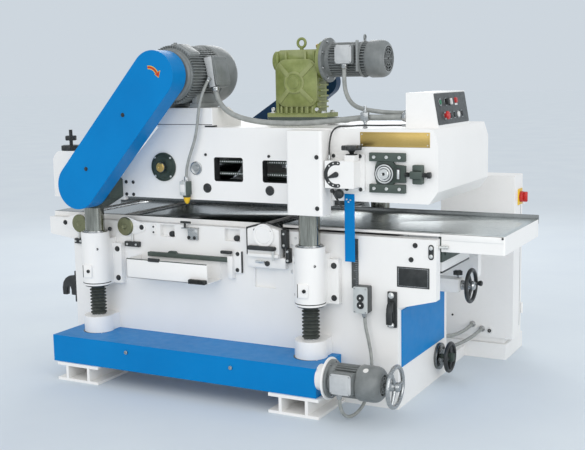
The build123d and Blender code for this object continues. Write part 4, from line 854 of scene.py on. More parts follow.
# Lower cutterhead's bearing housings: seat, body and round front cover; beside them two black blocks that
# paint the shade of the front housing's right side, and black bars and discs on its front
HOUSING = [(275, 700), (457, 700), (457, 842), (366, 866), (275, 842)]
SEAT = [(245, 702), (461, 702), (461, 844), (366, 870), (330, 866), (245, 842)]
HOUSING_FACE = LOWER_FACE
COVER = [(0, 6), (0, 8), (40, 8), (43, 5), (46, 5), (49, 8), (57, 8), (58, 7), (58, 0), (30, 0), (30, 6)]
seats, housings, bars_and_shade = shapes(3)
for side in SIDES:
    seats.prism(SEAT, across(side, WALL - 5, WALL + 6), soft=1)
    housing, bore = shapes(2)
    housing.prism(HOUSING, across(side, WALL - 4, HOUSING_FACE), soft=7)
    bore.disc((LOWER_X, side * (WALL - 10), LOWER_Z), BACK * side, 21, 80, soft=0)
    housings.take(housing.carve(bore).mesh)
    housings.block((267, 481), across(side, WALL - 4, WALL + 34), (645, 701), soft=5)
housings.turned((LOWER_X, -HOUSING_FACE + 1, LOWER_Z), FRONT, COVER, 48)
housings.block((280, 454), on_face(HOUSING_FACE, 9), (702, 721), soft=4)
# Painted shade: these two black blocks stand for the shaded right side of the front housing
bars_and_shade.block((455, 489), (-WALL - 30, -WALL + 4), (747, 842), soft=5)
bars_and_shade.block((478, 502), (-WALL - 30, -WALL + 4), (675, 749), soft=5)
bars_and_shade.prism(stadium((293, 749), (431, 749), 11), (-415, -394), soft=3)
bars_and_shade.disc((431, -415, 749), FRONT, 9.5, 3, soft=0.8)
bars_and_shade.disc((381, -378, 669), FRONT, 13, 10, soft=2)
bright.tube([(427, -404, 690), (427, -404, 738)], 7)
bright.tube([(318, -388, 677), (368, -388, 677)], 5)
bright.disc((343, -377, 677), FRONT, 9, 13)
bright.torus((505, -350, 632), FRONT, 8, 2.5, 24, 8)
for x, z in ((321, 838), (415, 838), (355, 757)):
    dark_bolts.cap_screw((x, -HOUSING_FACE + 0.5, z), FRONT, 6)
for x, z in ((523, 800), (504, 763)):
    bright.cap_screw((x, -WALL, z), FRONT, 6)
for x, z in ((472, 822), (472, 765), (492, 735), (492, 690)):
    bright.cap_screw((x, -WALL - 29.5, z), FRONT, 6)
piece("lower_housing_seats", seats, BLACK, "base")
piece("lower_housings", housings, WHITE, "base", "lower_spindle_housings")
piece("lower_housing_bars_and_shade", bars_and_shade, BLACK, "base")

# Bed roller caps: white teardrop flanges and olive round covers
CAP_PROFILE = [(0, 0), (50.5, 0), (50.5, 5), (46, 9.5), (15, 9.5), (12, 7), (0, 7)]
flanges, covers = shapes(2)
for side in SIDES:
    out = BACK * side
    for x, bolt_x in zip(ROLLER_X, (-919, -399)):
        teardrop = stadium((x, ROLLER_Z), (bolt_x, ROLLER_Z), 53.5, 24)
        flanges.prism(teardrop, across(side, WALL - 4, WALL + 7), soft=1.5)
        covers.turned((x, side * (WALL + 6.5), ROLLER_Z), out, CAP_PROFILE, 48)
        dark_bolts.hex_bolt((bolt_x, side * (WALL + 7), ROLLER_Z), out, 10)
piece("roller_cap_flanges", flanges, WHITE, "base", "bed_roller_caps")
piece("roller_cap_covers", covers, OLIVE, "base")

# Tool tray: bent sheet channel with a dark front edge, guide bar on a post and plate, clip and ribbed handle,
# and a black strip that paints the shadow at the plate's right edge
TRAY_X, TRAY_Z = (-412, 87), (557, 658)
TRAY_FRONT, TRAY_BACK, SHEET = -480, -WALL + SUNK, 4
HANDLE_RIBS, HANDLE_RIB_PITCH = 12, 8.3
tray, guide, black_parts_and_shade = shapes(3)
tray.block(TRAY_X, (TRAY_FRONT, TRAY_FRONT + SHEET), TRAY_Z, soft=1)
tray.block(TRAY_X, (TRAY_FRONT, TRAY_BACK), (TRAY_Z[0], TRAY_Z[0] + SHEET), soft=1)
tray.block(TRAY_X, on_face(WALL, 4), (TRAY_Z[0], 656), soft=1)
tray.block((TRAY_X[0], TRAY_X[0] + SHEET), (TRAY_FRONT, TRAY_BACK), TRAY_Z, soft=1)
tray.block((143, 173), on_face(WALL, 30), (574, 690), soft=3)
tray.block((168, 215), on_face(WALL, 12), (602, 715), soft=2)
guide.block((-355, 143), on_face(WALL, 24), (656, 678), soft=2)
guide.prism([(-232, 677), (-172, 677), (-184, 690), (-220, 690)], (-367, -346), soft=2)
guide.block((TRAY_X[0] + 1, TRAY_X[1] - 1), (TRAY_FRONT - 0.6, TRAY_FRONT + 4.6), (655, 659.5), soft=0.6)
black_parts_and_shade.block((-15, 87), (-492, -478), (560, 578), soft=3)
for step in range(HANDLE_RIBS):
    rib_x = -13 + step * HANDLE_RIB_PITCH
    black_parts_and_shade.block((rib_x, rib_x + 5), (-504, -480), (558, 580), soft=1.5)
black_parts_and_shade.block((-272, -203), (TRAY_FRONT - 4, TRAY_FRONT + 8), (650, 669), soft=2)
black_parts_and_shade.block((105, 168), (-380, -360), (700, 716), soft=4)
# Painted shadow: black strip along the plate's right edge
black_parts_and_shade.block((213, 219), on_face(WALL, 11), (604, 713), soft=1)
for x, z in ((195, 701), (192, 618)):
    dark_bolts.hex_bolt((x, -WALL - 11.5, z), FRONT, 8)
piece("tray_sheet", tray, WHITE, "base", "tool_tray")
piece("tray_guide_bar", guide, IRON, "base")
piece("tray_black_parts_and_shade", black_parts_and_shade, BLACK, "base")

# Push-button box with two buttons
(BOX_LEFT, BOX_RIGHT), (BOX_FRONT, _), (BOX_LOW, BOX_HIGH) = span_of("push_button_box")
BOX_X, _, BOX_Z = middle_of("push_button_box")
BOX_OUTLINE = rounded((BOX_X, BOX_Z), BOX_RIGHT - BOX_LEFT, BOX_HIGH - BOX_LOW, 6)
BUTTONS = ("up_button", "down_button")
CAP = [(0, 0), (10.8, 0), (10.8, 19), (9, 21), (0, 21)]
DOT = [(0, 0), (4.5, 0), (4.5, 0.7), (3.8, 1), (1.5, 1), (1.2, 0.6), (0, 0.6)]
body, lid, body_holes, lid_holes, bezels, screws = shapes(6)
# The body's dark grey is painted shade of the box's right side; the lid's pale grey is the box's colour
body.prism(BOX_OUTLINE, on_face(WALL, 50), soft=1)
lid.prism(BOX_OUTLINE, (BOX_FRONT, BOX_FRONT + 10.5), soft=2)
for name in BUTTONS:
    x, _, z = middle_of(name)
    body_holes.disc((x, -383, z), FRONT, 11.5, 60, soft=0)
    lid_holes.disc((x, -380, z), FRONT, 11.5, 30, soft=0)
    bezels.collar((x, BOX_FRONT + 0.5, z), FRONT, 18, 11.6, 5)
for x in (863, 920):
    for z in around(BOX_Z, 56):
        screws.cap_screw((x, BOX_FRONT + 0.5, z), FRONT, 3.6)
piece("button_box_shaded_body", body.carve(body_holes), PANEL, "base", "push_button_box")
piece("button_box_lid", lid.carve(lid_holes), BOX_GREY, "base")
piece("button_box_bezels", bezels, BLACK, "base")
piece("button_box_screws", screws, STEEL, "base")
for name in BUTTONS:
    x, _, z = middle_of(name)
    cap, dot = shapes(2)
    cap.turned((x, -391, z), FRONT, CAP, 28)
    dot.turned((x, -411.5, z), FRONT, DOT, 24)
    piece(f"{name}_cap", cap, BLACK, name, name)
    piece(f"{name}_dot", dot, CREAM, name)

# Cabinet: door joint, hinges, lock, gland and isolator
CABINET_FRONT = 690.5
GLAND_AT = (1193, CABINET_FRONT, 159)
ISOLATOR_Y, ISOLATOR_Z = 790, 908
KNOB = [(0, 0), (5.8, 0), (5.8, 5), (30, 5), (30, 17), (26, 21), (0, 21)]
trim, glands, plate, hole, hinges, gland_rims, knob = shapes(7)
for z in (240, 860):
    hinges.tube([(1331, 846, z), (1331, 846, z + 60)], 6)
trim.disc((1045, 849, 600), BACK, 16, 7, soft=1.5)
trim.block((1041, 1049), (852, 860), (570, 604), soft=2)
gland_rims.collar(GLAND_AT, FRONT, 19, 10, 5)
glands.collar(GLAND_AT, FRONT, 10.2, 4, 8)
glands.block((1324.6, 1325.8), (812, 814.5), (175, 860), soft=0.2)
glands.disc((977, CABINET_FRONT, 230), FRONT, 6, 3)
plate.block((1324.5, 1330), around(ISOLATOR_Y, 40), (864, 952), soft=1.5)
hole.disc((1320, ISOLATOR_Y, ISOLATOR_Z), RIGHT, 7, 20, soft=0)
piece("cabinet_trim", trim, STEEL, "base")
piece("cabinet_hinges", hinges, WHITE, "base")
piece("cabinet_gland_rim", gland_rims, CREAM, "base")
piece("cabinet_gland", glands, BLACK, "base")
piece("isolator_plate", plate.carve(hole), YELLOW, "base", "base_fittings")
knob.turned((1326, ISOLATOR_Y, ISOLATOR_Z), RIGHT, KNOB)
knob.block((1345, 1369), around(ISOLATOR_Y, 9), around(ISOLATOR_Z, 28), soft=5)
piece("isolator_grip", knob, RED, "isolator_knob", "isolator_knob")

# Hooks, stops, clamp, fence rail, wheel bracket and other fittings of the base
LEFT_HOOK = [(-970, 390), (-972, 430), (-965, 462), (-948, 485), (-925, 499), (-900, 503), (-879, 500),
             (-879, 392), (-909, 392), (-909, 420), (-914, 438), (-924, 445), (-934, 438), (-939, 420),
             (-941, 390)]
RIGHT_HOOK = [(-400, 425), (-401, 470), (-397, 500), (-387, 520), (-370, 532), (-355, 532), (-355, 440),
              (-367, 440), (-369, 470), (-373, 484), (-379, 484), (-383, 470), (-385, 425)]
_, TABLE_WHEEL_Y, TABLE_WHEEL_Z = middle_of("table_handwheel")
hooks, stops, clamp, white_fit, fence, hole = shapes(6)
hooks.block((-882, -868), (-345, -305), (355, 531), soft=3)
hooks.prism(LEFT_HOOK, (-345, -317), soft=4)
hooks.block((1010, 1057), on_face(WALL, 12), (403, 576), soft=4)
hooks.prism(RIGHT_HOOK, (1020, 1047), "YZ", soft=4)
for z in (415, 558):
    bright.hex_bolt((1030, -WALL - 11.5, z), FRONT, 11)
for x, z, width in ((-825.5, 707, 55), (-461, 711.5, 96)):
    stops.block(around(x, width / 2), on_face(WALL, 18), (z - 14, z + 14.5), soft=3)
    for step in SIDES:
        bright.cap_screw((x + step * width * 0.3, -WALL - 17.5, z), FRONT, 6)
    bright.tube([(x, -354, z + 12), (x, -354, z + 58)], 5)
clamp.block((-105, -43), on_face(WALL, 12), (756, 816), soft=2.5)
clamp.block((-133, -39), on_face(WALL, 27), (815.5, 821), soft=1)
dark_bolts.tube([(-116, -362, 820), (-116, -362, 845)], 6, 16)
dark_bolts.tube([(-140, -362, 848), (-81, -362, 848)], 6, 16)
for x in (-98, -63):
    dark_bolts.hex_bolt((x, -WALL - 11.5, 768), FRONT, 7)
fence.block((-1034, 1553), (302, 311), (835, 879), soft=1.5)
for x in range(-900, 1500, 390):
    fence.hex_bolt((x, 310.5, 857), BACK, 8)
white_fit.block((1058, 1240), around(TABLE_WHEEL_Y, 40), around(TABLE_WHEEL_Z, 34), soft=6)
hole.disc((1050, TABLE_WHEEL_Y, TABLE_WHEEL_Z), RIGHT, 13, 210, soft=0)
white_fit.carve(hole)
white_fit.block((-335, -311), on_face(WALL, 6), (769, 826), soft=2)
for z in (783, 812):
    dark_bolts.cap_screw((-323, -WALL - 5.5, z), FRONT, 5)
for x in (-218, 178):
    dark_bolts.disc((x, -321, 777), FRONT, 15, 19, soft=3)
dark_bolts.ball((-604, -362, 786), 12)
dark_bolts.prism(stadium((1224, 752), (1224, 797), 13), on_face(WALL, 3), soft=1)
for z in (755, 794):
    bright.hex_bolt((1224, -WALL - 2.5, z), FRONT, 7)
bright.tube([(1240, -314, 796), (1296, -314, 796)], 6)
for x in (1272, 1286):
    bright.turned((x, -314, 796), RIGHT, [(0, 0), (10, 0), (10, 8), (0, 8)], 6, 0.6)
for x, z in ((1146, 802), (1126, 734)):
    dark_bolts.hex_bolt((x, -WALL, z), FRONT, 9)
piece("lifting_hooks", hooks, BLACK, "base")
piece("stop_blocks", stops, BLACK, "base")
piece("stop_clamp", clamp, STEEL, "base")
piece("fence_rail", fence, DARK_STEEL, "base", slot="table_steel")
piece("white_base_fittings", white_fit, WHITE, "base")
piece("bright_base_bolts", bright, ZINC, "base")
piece("dark_base_bolts", dark_bolts, BLACK, "base")

# Bare data plate with a border and rivets, height scale, and guard screws
RIVET = [(0, 0), (3, 0), (2.4, 1.4), (0, 2)]
TICKS, TICK_PITCH = 24, 10
LONG_TICK, SHORT_TICK = 22, 12
plate, frame_line, scale_plate = shapes(3)
plate.block((1056, 1216), on_face(WALL, 2), (601, 698), soft=0.5)
for x in (1068, 1204):
    for z in (613, 686):
        plate.turned((x, -WALL - 1.5, z), FRONT, RIVET, 16)
for z in (606, 691):
    frame_line.block((1062, 1210), (-347.6, -346), (z, z + 2), soft=0.2)
for x in (1062, 1208):
    frame_line.block((x, x + 2), (-347.6, -346), (606, 693), soft=0.2)
scale_plate.block((824, 859), on_face(WALL, 4), (576, 816), soft=0.8)
for z in (600, 792):
    scale_plate.cap_screw((830, -WALL - 3.5, z), FRONT, 4)
for step in range(TICKS):
    width = LONG_TICK if step % 4 == 0 else SHORT_TICK
    tick_z = 581 + step * TICK_PITCH
    frame_line.block((857 - width, 857), (-349.6, -348), (tick_z, tick_z + 1.6), soft=0)
for x, z in ((-326, 197), (301, 192)):
    for side in SIDES:
        frame_line.cap_screw((x, side * (GUARD_SIDE - 0.5), z), BACK * side, 10)
piece("data_plate", plate, BLACK, "base")
piece("data_plate_frame", frame_line, STEEL, "base")
piece("height_scale", scale_plate, PANEL, "base")


# Handwheels
def wheel(centre, rim, tube, hub, spokes, rims, hubs):
    """Rim and spokes in one shape, hub of (radius, half length) in another, turning about X."""
    centre = Vector(centre)
    hub_radius, half = hub
    rims.torus(centre, RIGHT, rim, tube, 56)
    for step in range(spokes):
        turn = 2 * math.pi * step / spokes
        reach = Vector((0, math.cos(turn), math.sin(turn)))
        spoke = [centre + reach * hub_radius * 0.6, centre + reach * (rim - tube * 0.4)]
        rims.tube(spoke, [tube * 0.95, tube * 0.65], 12)
    edge = hub_radius * 0.75
    profile = [(0, 0), (hub_radius, 0), (hub_radius, half * 1.6), (edge, 2 * half), (0, 2 * half)]
    hubs.turned(centre - RIGHT * half, RIGHT, profile, 32, 1)


TABLE_WHEEL_X = 1290
CRANK_Y = TABLE_WHEEL_Y + 70
GRIP = [(0, 0), (8, 0), (11, 5), (14, 14), (13, 20), (9, 24), (0, 25)]
rims, hubs = shapes(2)
wheel((TABLE_WHEEL_X, TABLE_WHEEL_Y, TABLE_WHEEL_Z), 78, 10, (24, 20), 3, rims, hubs)
hubs.tube([(1062, TABLE_WHEEL_Y, TABLE_WHEEL_Z), (TABLE_WHEEL_X, TABLE_WHEEL_Y, TABLE_WHEEL_Z)], 12, 24)
rims.turned((1302, CRANK_Y, TABLE_WHEEL_Z), RIGHT, GRIP, 24)
hubs.tube([(1292, CRANK_Y, TABLE_WHEEL_Z), (1306, CRANK_Y, TABLE_WHEEL_Z)], 5)
piece("table_wheel_rim", rims, BLACK, "table_handwheel", "table_handwheel")
piece("table_wheel_hub", hubs, STEEL, "table_handwheel")
LOCK_X = 1222
collar, lock = shapes(2)
collar.collar((1239.5, TABLE_WHEEL_Y, TABLE_WHEEL_Z), RIGHT, 24, 13, 14, soft=2)
collar.tube([(LOCK_X, TABLE_WHEEL_Y, 580), (LOCK_X, TABLE_WHEEL_Y, 600)], 6)
lock.prism(lobed((LOCK_X, TABLE_WHEEL_Y), 24, 7, 5), (598, 620), "XY", soft=3)
piece("table_wheel_collar", collar, STEEL, "base")
piece("table_lock_knob", lock, BLACK, "base")

TENSION_X = 1125
_, TENSION_Y, TENSION_Z = middle_of("tension_handwheel")
WEB = [(0, 0), (30, 0), (68, 8), (68, 14), (30, 6), (0, 6)]
rims, hubs, flange = shapes(3)
wheel((TENSION_X, TENSION_Y, TENSION_Z), 72, 10, (26, 22), 4, rims, hubs)
rims.turned((1112, TENSION_Y, TENSION_Z), RIGHT, WEB, 48)
hubs.tube([(1061, TENSION_Y, TENSION_Z), (TENSION_X, TENSION_Y, TENSION_Z)], 12, 24)
piece("tension_wheel_rim", rims, BLACK, "tension_handwheel", "tension_handwheel")
piece("tension_wheel_hub", hubs, IRON, "tension_handwheel")
flange.collar((1059, TENSION_Y, TENSION_Z), RIGHT, 70, 13, 19, soft=3)
for y, z in arc((TENSION_Y, TENSION_Z), 50, 45, 315, 3):
    flange.cap_screw((1077.5, y, z), RIGHT, 7)
piece("tension_flange", flange, DARK_STEEL, "base")

# Lift handwheel on its shaft, which carries a ridged worm at each column
LIFT_WHEEL_X = 1138
LIFT_Y, LIFT_Z = LIFT_AT[1:]
WORM_RIDGES, WORM_HALF = 21, 60
worm = [(28 if step % 2 else 20, -WORM_HALF + step * 6) for step in range(WORM_RIDGES)]
rims, hubs = shapes(2)
wheel((LIFT_WHEEL_X, LIFT_Y, LIFT_Z), 92, 10, (22, 24), 3, rims, hubs)
hubs.tube([(-755, LIFT_Y, LIFT_Z), (LIFT_WHEEL_X, LIFT_Y, LIFT_Z)], 12, 24)
for x in (-COLUMN_X, COLUMN_X):
    hubs.turned((x, LIFT_Y, LIFT_Z), RIGHT, [(0, -WORM_HALF), *worm, (0, WORM_HALF)], 28)
piece("lift_wheel_rim", rims, STEEL, "lift_handwheel", "lift_handwheel")
piece("lift_wheel_hub", hubs, STEEL, "lift_handwheel")

# Bolts and screws of the head are gathered in two shapes through the sections that follow
head_bolts, head_screws = shapes(2)

# Side plates of the head: plugs, ringed discs, and chains behind the windows (middle, width and height)
WINDOWS = [(169, 1131, 168, 121), (450, 1127, 172, 110)]
CHAIN_ROWS, CHAIN_PITCH = (1168, 1107), 12.7
PLUG = [(0, 0), (24, 0), (24, 3), (20, 5), (12, 5), (10, 3), (0, 3)]
RINGED_DISC = [(0, 0), (34, 0), (34, 4), (29, 6), (24, 4), (14, 4), (12, 7), (0, 7)]
PIN = [(0, 0), (4, 0), (4, 2), (3, 3), (0, 3)]
plugs, rings, chain, pins, liners = shapes(5)
for side in SIDES:
    out = BACK * side
    plate_y = side * (PLATE - 0.5)
    for x, z in ((42, 1034), (404, 1033)):
        plugs.turned((x, plate_y, z), out, PLUG, 36)
    rings.turned((-21, plate_y, 1133), out, RINGED_DISC, 44)
    for x, z in ((38, 1203), (402, 1202)):
        head_bolts.cap_screw((x, plate_y, z), out, 7)
    for x in (-466, -421):
        for z in (984, 1049):
            head_bolts.hex_bolt((x, plate_y, z), out, 7)
    for x, z, width, height in WINDOWS:
        liner, opening = shapes(2)
        liner.prism(rounded((x, z), width - 0.4, height - 0.4, 11.8), across(side, 330, PLATE - 0.4), soft=0)
        opening.prism(rounded((x, z), width - 4, height - 4, 10), across(side, 320, 390), soft=0)
        liners.take(liner.carve(opening).mesh)
        links = int((width - 6) // CHAIN_PITCH)
        start = x - links * CHAIN_PITCH / 2
        for row in CHAIN_ROWS:
            for link in range(links):
                middle = start + (link + 0.5) * CHAIN_PITCH
                chain.block(around(middle, 6), across(side, 334, 342), around(row, 8), soft=2.5)
                pins.turned((middle, side * 341.5, row), out, PIN, 12)
piece("plate_plugs", plugs, BLACK, "head")
piece("plate_ringed_discs", rings, STEEL, "head")
piece("window_chains", chain, IRON, "head")
piece("window_chain_pins", pins, ZINC, "head")
piece("window_liners", liners, BLACK, "head")

# Bolts of the right column brackets
bracket_front = span_of("right_column_brackets")[1][0]
for z in (1212, 972):
    head_bolts.hex_bolt((714, bracket_front + 0.5, z), FRONT, 8)

# Brass plate on the hood, left bare with a raised border
BORDER, BORDER_Y = 2.5, (-382.8, -381)
brass = Shape()
brass.block((889, 1230), on_face(PLATE, 2), (1257, 1325), soft=0.6)
for z in (1261, 1318.5):
    brass.block((894, 1225), BORDER_Y, (z, z + BORDER), soft=0.4)
for x in (894, 1222.5):
    brass.block((x, x + BORDER), BORDER_Y, (1261, 1321), soft=0.4)
for x in (899, 1220):
    for z in (1267, 1315):
        head_screws.cap_screw((x, -PLATE - 1.5, z), FRONT, 3)
piece("brass_plate", brass, BRASS, "head")

# Belt guard studs and a plain rotation arrow
GUARD_FACE = -span_of("belt_guard")[1][0]
ARROW_AT = (-128, 1588)
for x, z in ((-296, 1411), (-543, 1136)):
    head_bolts.hex_bolt((x, -GUARD_FACE + 0.5, z), FRONT, 8)
border, arrow = shapes(2)
for shape, edge, height in ((border, 4, 0.6), (arrow, 0, 1.4)):
    sweep = arc(ARROW_AT, 58 + edge, 96, 30, 12) + arc(ARROW_AT, 49 - edge, 30, 96, 12)
    tip = [(-90 - edge, 1608), (-64 + edge, 1622 + edge), (-70, 1594 - edge)]
    for outline in (sweep, tip):
        shape.prism(outline, on_face(GUARD_FACE, height), soft=0)
piece("arrow_border", border, YELLOW, "head")
piece("arrow_mark", arrow, RED, "head")

# Motor stand: the dark joint above the roof and the slot beside its right foot
joint = Shape()
joint.block((-252, 81), on_face(PLATE, 1.2), (1352, 1355), soft=0.4)
joint.block((38, 84.5), (-381.6, -340), (1341, 1349), soft=0.4)
piece("stand_joint", joint, BLACK, "head")

# Chip hood's adjuster and the conduit post
ADJUSTER_AT = (-868, -330)
POST_AT = (889, -322)
knobs, post = shapes(2)
knobs.prism(lobed(ADJUSTER_AT, 57, 10, 6), (1206, 1234), "XY", soft=4)
knobs.prism(lobed(ADJUSTER_AT, 32, 6, 6), (1260, 1286), "XY", soft=4)
knobs.tube([(*ADJUSTER_AT, 1204), (*ADJUSTER_AT, 1318.5)], 9.6, 20)
piece("adjuster_knobs", knobs, BLACK, "head")
post.tube([(*POST_AT, 1338), (*POST_AT, 1443.5)], 6.6, 16)
for z in (1340, 1366, 1414):
    post.turned((*POST_AT, z), UP, [(0, 0), (12, 0), (12, 8), (0, 8)], 6, 0.8)
post.block((867, 907), (-330, -310), (1373, 1413), soft=3)
piece("conduit_post", post, STEEL, "head")

# Track's flange bearing on the drive shaft, take-up rails and nut
_, SCREW_Y, TRACK_Z = middle_of("takeup_screw")
DRIVE_X, DRIVE_BORE = -220, 26
flange_bearing, rails, nut = shapes(3)
for at, out, radius, thick in ((-379.5, FRONT, 74, 20.5), (329.5, BACK, 60, 20.5)):
    foot = [(DRIVE_BORE, 0), (radius, 0), (radius, thick * 0.45), (radius * 0.82, thick * 0.5)]
    face = thick * 0.8
    hub = [(radius * 0.72, thick), (radius * 0.5, thick), (radius * 0.46, face), (DRIVE_BORE, face)]
    flange_bearing.turned((DRIVE_X, at, TRACK_Z), out, foot + hub, 48, 0.8, ring=True)
for x, z in arc((DRIVE_X, TRACK_Z), 67, 45, 315, 3):
    head_screws.cap_screw((x, -388.5, z), FRONT, 5.5)
for side in SIDES:
    for low, high in ((1192, 1232), (1047, 1087)):
        rails.block((940, 1117), across(side, PLATE - SUNK, PLATE + 20), (low, high), soft=3)
        for x in (966, 1028, 1091):
            head_screws.cap_screw((x, side * (PLATE + 19.5), (low + high) / 2), BACK * side, 8)
for x, height, z in (((1156, 1204), 32, (1093, 1180)), ((1145, 1204.5), 38, (1117, 1152))):
    part, hole = shapes(2)
    part.block(x, on_face(PLATE, height), z, soft=5)
    hole.disc((1130, SCREW_Y, TRACK_Z), RIGHT, 12, 100, soft=0)
    nut.take(part.carve(hole).mesh)
piece("flange_bearing", flange_bearing, IRON, "head", "track_bearings")
piece("takeup_rails", rails, IRON, "head")
piece("takeup_nut", nut, IRON, "head")

# Take-up bearings: slides with rings and gaps of (outer radius, inner radius, height), idler ends and screw
SLIDE = [(977, 1191), (969, 1166), (966, 1138), (969, 1112), (977, 1087.5), (1057, 1087.5), (1066, 1096),
         (1118, 1096), (1118, 1174), (1066, 1179), (1057, 1191)]
IDLER_X, IDLER_BORE = 1016, 26
SLIDE_FACE = 397
GAP_SIZES, RING_SIZES = ((49, 44, 3), (38, 34, 3)), ((44, 38, 5), (34, 26.2, 8))
slides, slide_rings, slide_gaps = shapes(3)
for side in SIDES:
    out = BACK * side
    slide, hole = shapes(2)
    slide.prism(SLIDE, across(side, PLATE + 0.5, SLIDE_FACE + 1), soft=2)
    hole.disc((IDLER_X, side * 370, TRACK_Z), out, IDLER_BORE, 60, soft=0)
    slides.take(slide.carve(hole).mesh)
    for shape, sizes in ((slide_gaps, GAP_SIZES), (slide_rings, RING_SIZES)):
        for size in sizes:
            shape.collar((IDLER_X, side * SLIDE_FACE, TRACK_Z), out, *size, soft=0.8, steps=44)
    slide_gaps.block((1073, 1095), across(side, SLIDE_FACE - 1, SLIDE_FACE + 2), (1109, 1163), soft=0.6)
    slide_rings.block((1078, 1090), across(side, SLIDE_FACE - 1, SLIDE_FACE + 3), (1113, 1156), soft=1)
piece("takeup_slides", slides, IRON, "takeup_bearings", "takeup_bearings")
piece("takeup_slide_rings", slide_rings, ZINC, "takeup_bearings")
piece("takeup_slide_gaps", slide_gaps, BLACK, "takeup_bearings")
SHAFT_END = [(0, 0), (24.6, 0), (24.6, 3), (22, 5), (8, 5), (6, 3), (0, 3)]
CENTRE_HOLE = [(0, 2), (5.9, 2), (5.9, 4), (3, 3.5), (0, 3.2)]
idler_ends, idler_centres = shapes(2)
for side in SIDES:
    end = (IDLER_X, side * 407.5, TRACK_Z)
    idler_ends.turned(end, BACK * side, SHAFT_END, 36)
    idler_centres.turned(end, BACK * side, CENTRE_HOLE, 20)
piece("idler_shaft_ends", idler_ends, ZINC, "track_idler")
piece("idler_centre_holes", idler_centres, BLACK, "track_idler")
thread = [(11 if step % 2 else 9.2, step * 2) for step in range(61)]
screw, shaft_end = shapes(2)
screw.turned((1118.4, SCREW_Y, TRACK_Z), RIGHT, [(0, 0), *thread, (0, 121)], 20)
screw.turned((1227, SCREW_Y, TRACK_Z), RIGHT, [(0, 0), (16, 0), (16, 12), (14, 14.5), (0, 14.5)], 6)
piece("takeup_thread", screw, BLACK, "takeup_screw", "takeup_screw", slot="dark_casting")
drive_end = [(0, 0), (24, 0), (24, 3), (20, 6), (9, 6), (7, 3), (0, 3)]
shaft_end.turned((DRIVE_X, -413.5, TRACK_Z), FRONT, drive_end, 36)
piece("drive_shaft_end", shaft_end, BRASS, "track_drive_shaft")

# Control panel: dark plate with its controls, set square to the leaning face
(_, PANEL_X), _, (PANEL_Z, PANEL_TOP) = span_of("control_box")
LEAN = math.atan2(29, PANEL_TOP - PANEL_Z)
panel_place = Matrix(((0, -math.sin(LEAN), math.cos(LEAN), PANEL_X), (1, 0, 0, 0),
                      (0, math.cos(LEAN), math.sin(LEAN), PANEL_Z), (0, 0, 0, 1)))
MOVING = {"start_button": (-233, 118), "selector_switch": (-156, 118), "stop_button": (-196, 54)}
DARK_LAMPS, PALE_LAMP = ((-117, 52), (-64, 54), (50, 56)), (-5, 54)
STEM = 10.9
face, holes, bezels, fixed, lamps, pale = shapes(6)
face.prism(rounded((-75, 87), 438, 146, 8), (-0.5, 2.5), "XY", soft=0.8)
for place in MOVING.values():
    holes.disc((*place, -10), UP, 11.6, 30, soft=0)
    bezels.collar((*place, 2), UP, 19, 11.7, 3.5, soft=0.8)
face.carve(holes)
fixed.disc((-102, 117, 2), UP, 18, 6)
pale.block((-107, -97), (102, 132), (6, 18), soft=2)
for place in (*DARK_LAMPS, PALE_LAMP):
    bezels.collar((*place, 2), UP, 18, 13, 3, soft=0.6)
    lens = pale if place == PALE_LAMP else fixed
    lens.disc((*place, 2), UP, 13.4, 8, soft=2)
pale.block((-28, 8), (99, 107), (2, 3.5), soft=0.5)
lamps.block((-22, 6), (111, 133), (2, 9), soft=2)
lamps.block((-25, 9), (108.5, 135.5), (2, 4), soft=1)
for name, shape, look in (("panel_face", face, PANEL), ("panel_bezels", bezels, STEEL),
                          ("panel_switches", fixed, BLACK), ("panel_lamp", lamps, RED),
                          ("panel_pale_parts", pale, CREAM)):
    piece(name, shape.place(panel_place), look, "head")
CONTROLS = {
    "start_button": (GREEN_CAP, 28, [(STEM, 22), (9, 24), (0, 24)]),
    "selector_switch": (BLACK, 28, [(STEM, 20), (0, 21)]),
    "stop_button": (RED, 32, [(STEM, 29), (20, 30), (20, 36), (15, 40.5), (0, 41)]),
}
for name, (look, steps, top) in CONTROLS.items():
    place = MOVING[name]
    control = Shape()
    control.turned((*place, -15), UP, [(0, 0), (STEM, 0), *top], steps)
    if name == "selector_switch":
        control.block(around(place[0], 4.5), around(place[1], 15), (5, 20), soft=2)
    piece(f"{name}_cap", control.place(panel_place), look, name, name)

# Gauge box: curved slot with pale dots, pointer, star knob and ball lever
POINTER_X, POINTER_Z = 806, 1133
POINTER_AT = (POINTER_X, POINTER_Z)
SLOT_R, SLOT_HALF, SLOT_ENDS = 53, 9, (78, 282)
GAUGE_FACE = -span_of("gauge_box")[1][0]


def on_slot(angle):
    """Point on the middle line of the gauge's curved slot."""
    return arc(POINTER_AT, SLOT_R, angle, angle, 1)[0]


SLOT_DOT = [(0, 0), (3.6, 0), (3.6, 0.3), (3, 0.5), (0, 0.4)]
first, last = SLOT_ENDS
slot_outline = arc(POINTER_AT, SLOT_R + SLOT_HALF, first, last, 24)
slot_outline += arc(on_slot(last), SLOT_HALF, last, last + 180)[1:-1]
slot_outline += arc(POINTER_AT, SLOT_R - SLOT_HALF, last, first, 24)
slot_outline += arc(on_slot(first), SLOT_HALF, first + 180, first + 360)[1:-1]
slot_mark, slot_dots, hand = shapes(3)
slot_mark.prism(slot_outline, on_face(GAUGE_FACE, 1), soft=0.3)
for angle in (80, 106, 132, 226, 252, 279):
    x, z = on_slot(angle)
    slot_dots.turned((x, -GAUGE_FACE - 0.9, z), FRONT, SLOT_DOT, 16)
for x, z in ((756, 1213), (892, 1213), (894, 1058), (823, 1058)):
    head_bolts.hex_bolt((x, -391.5, z), FRONT, 7)
piece("gauge_slot_dots", slot_dots, CREAM, "head")
piece("gauge_slot", slot_mark, BLACK, "head")
pointer = stadium(POINTER_AT, (POINTER_X - 44, POINTER_Z - 17), 13, 3)
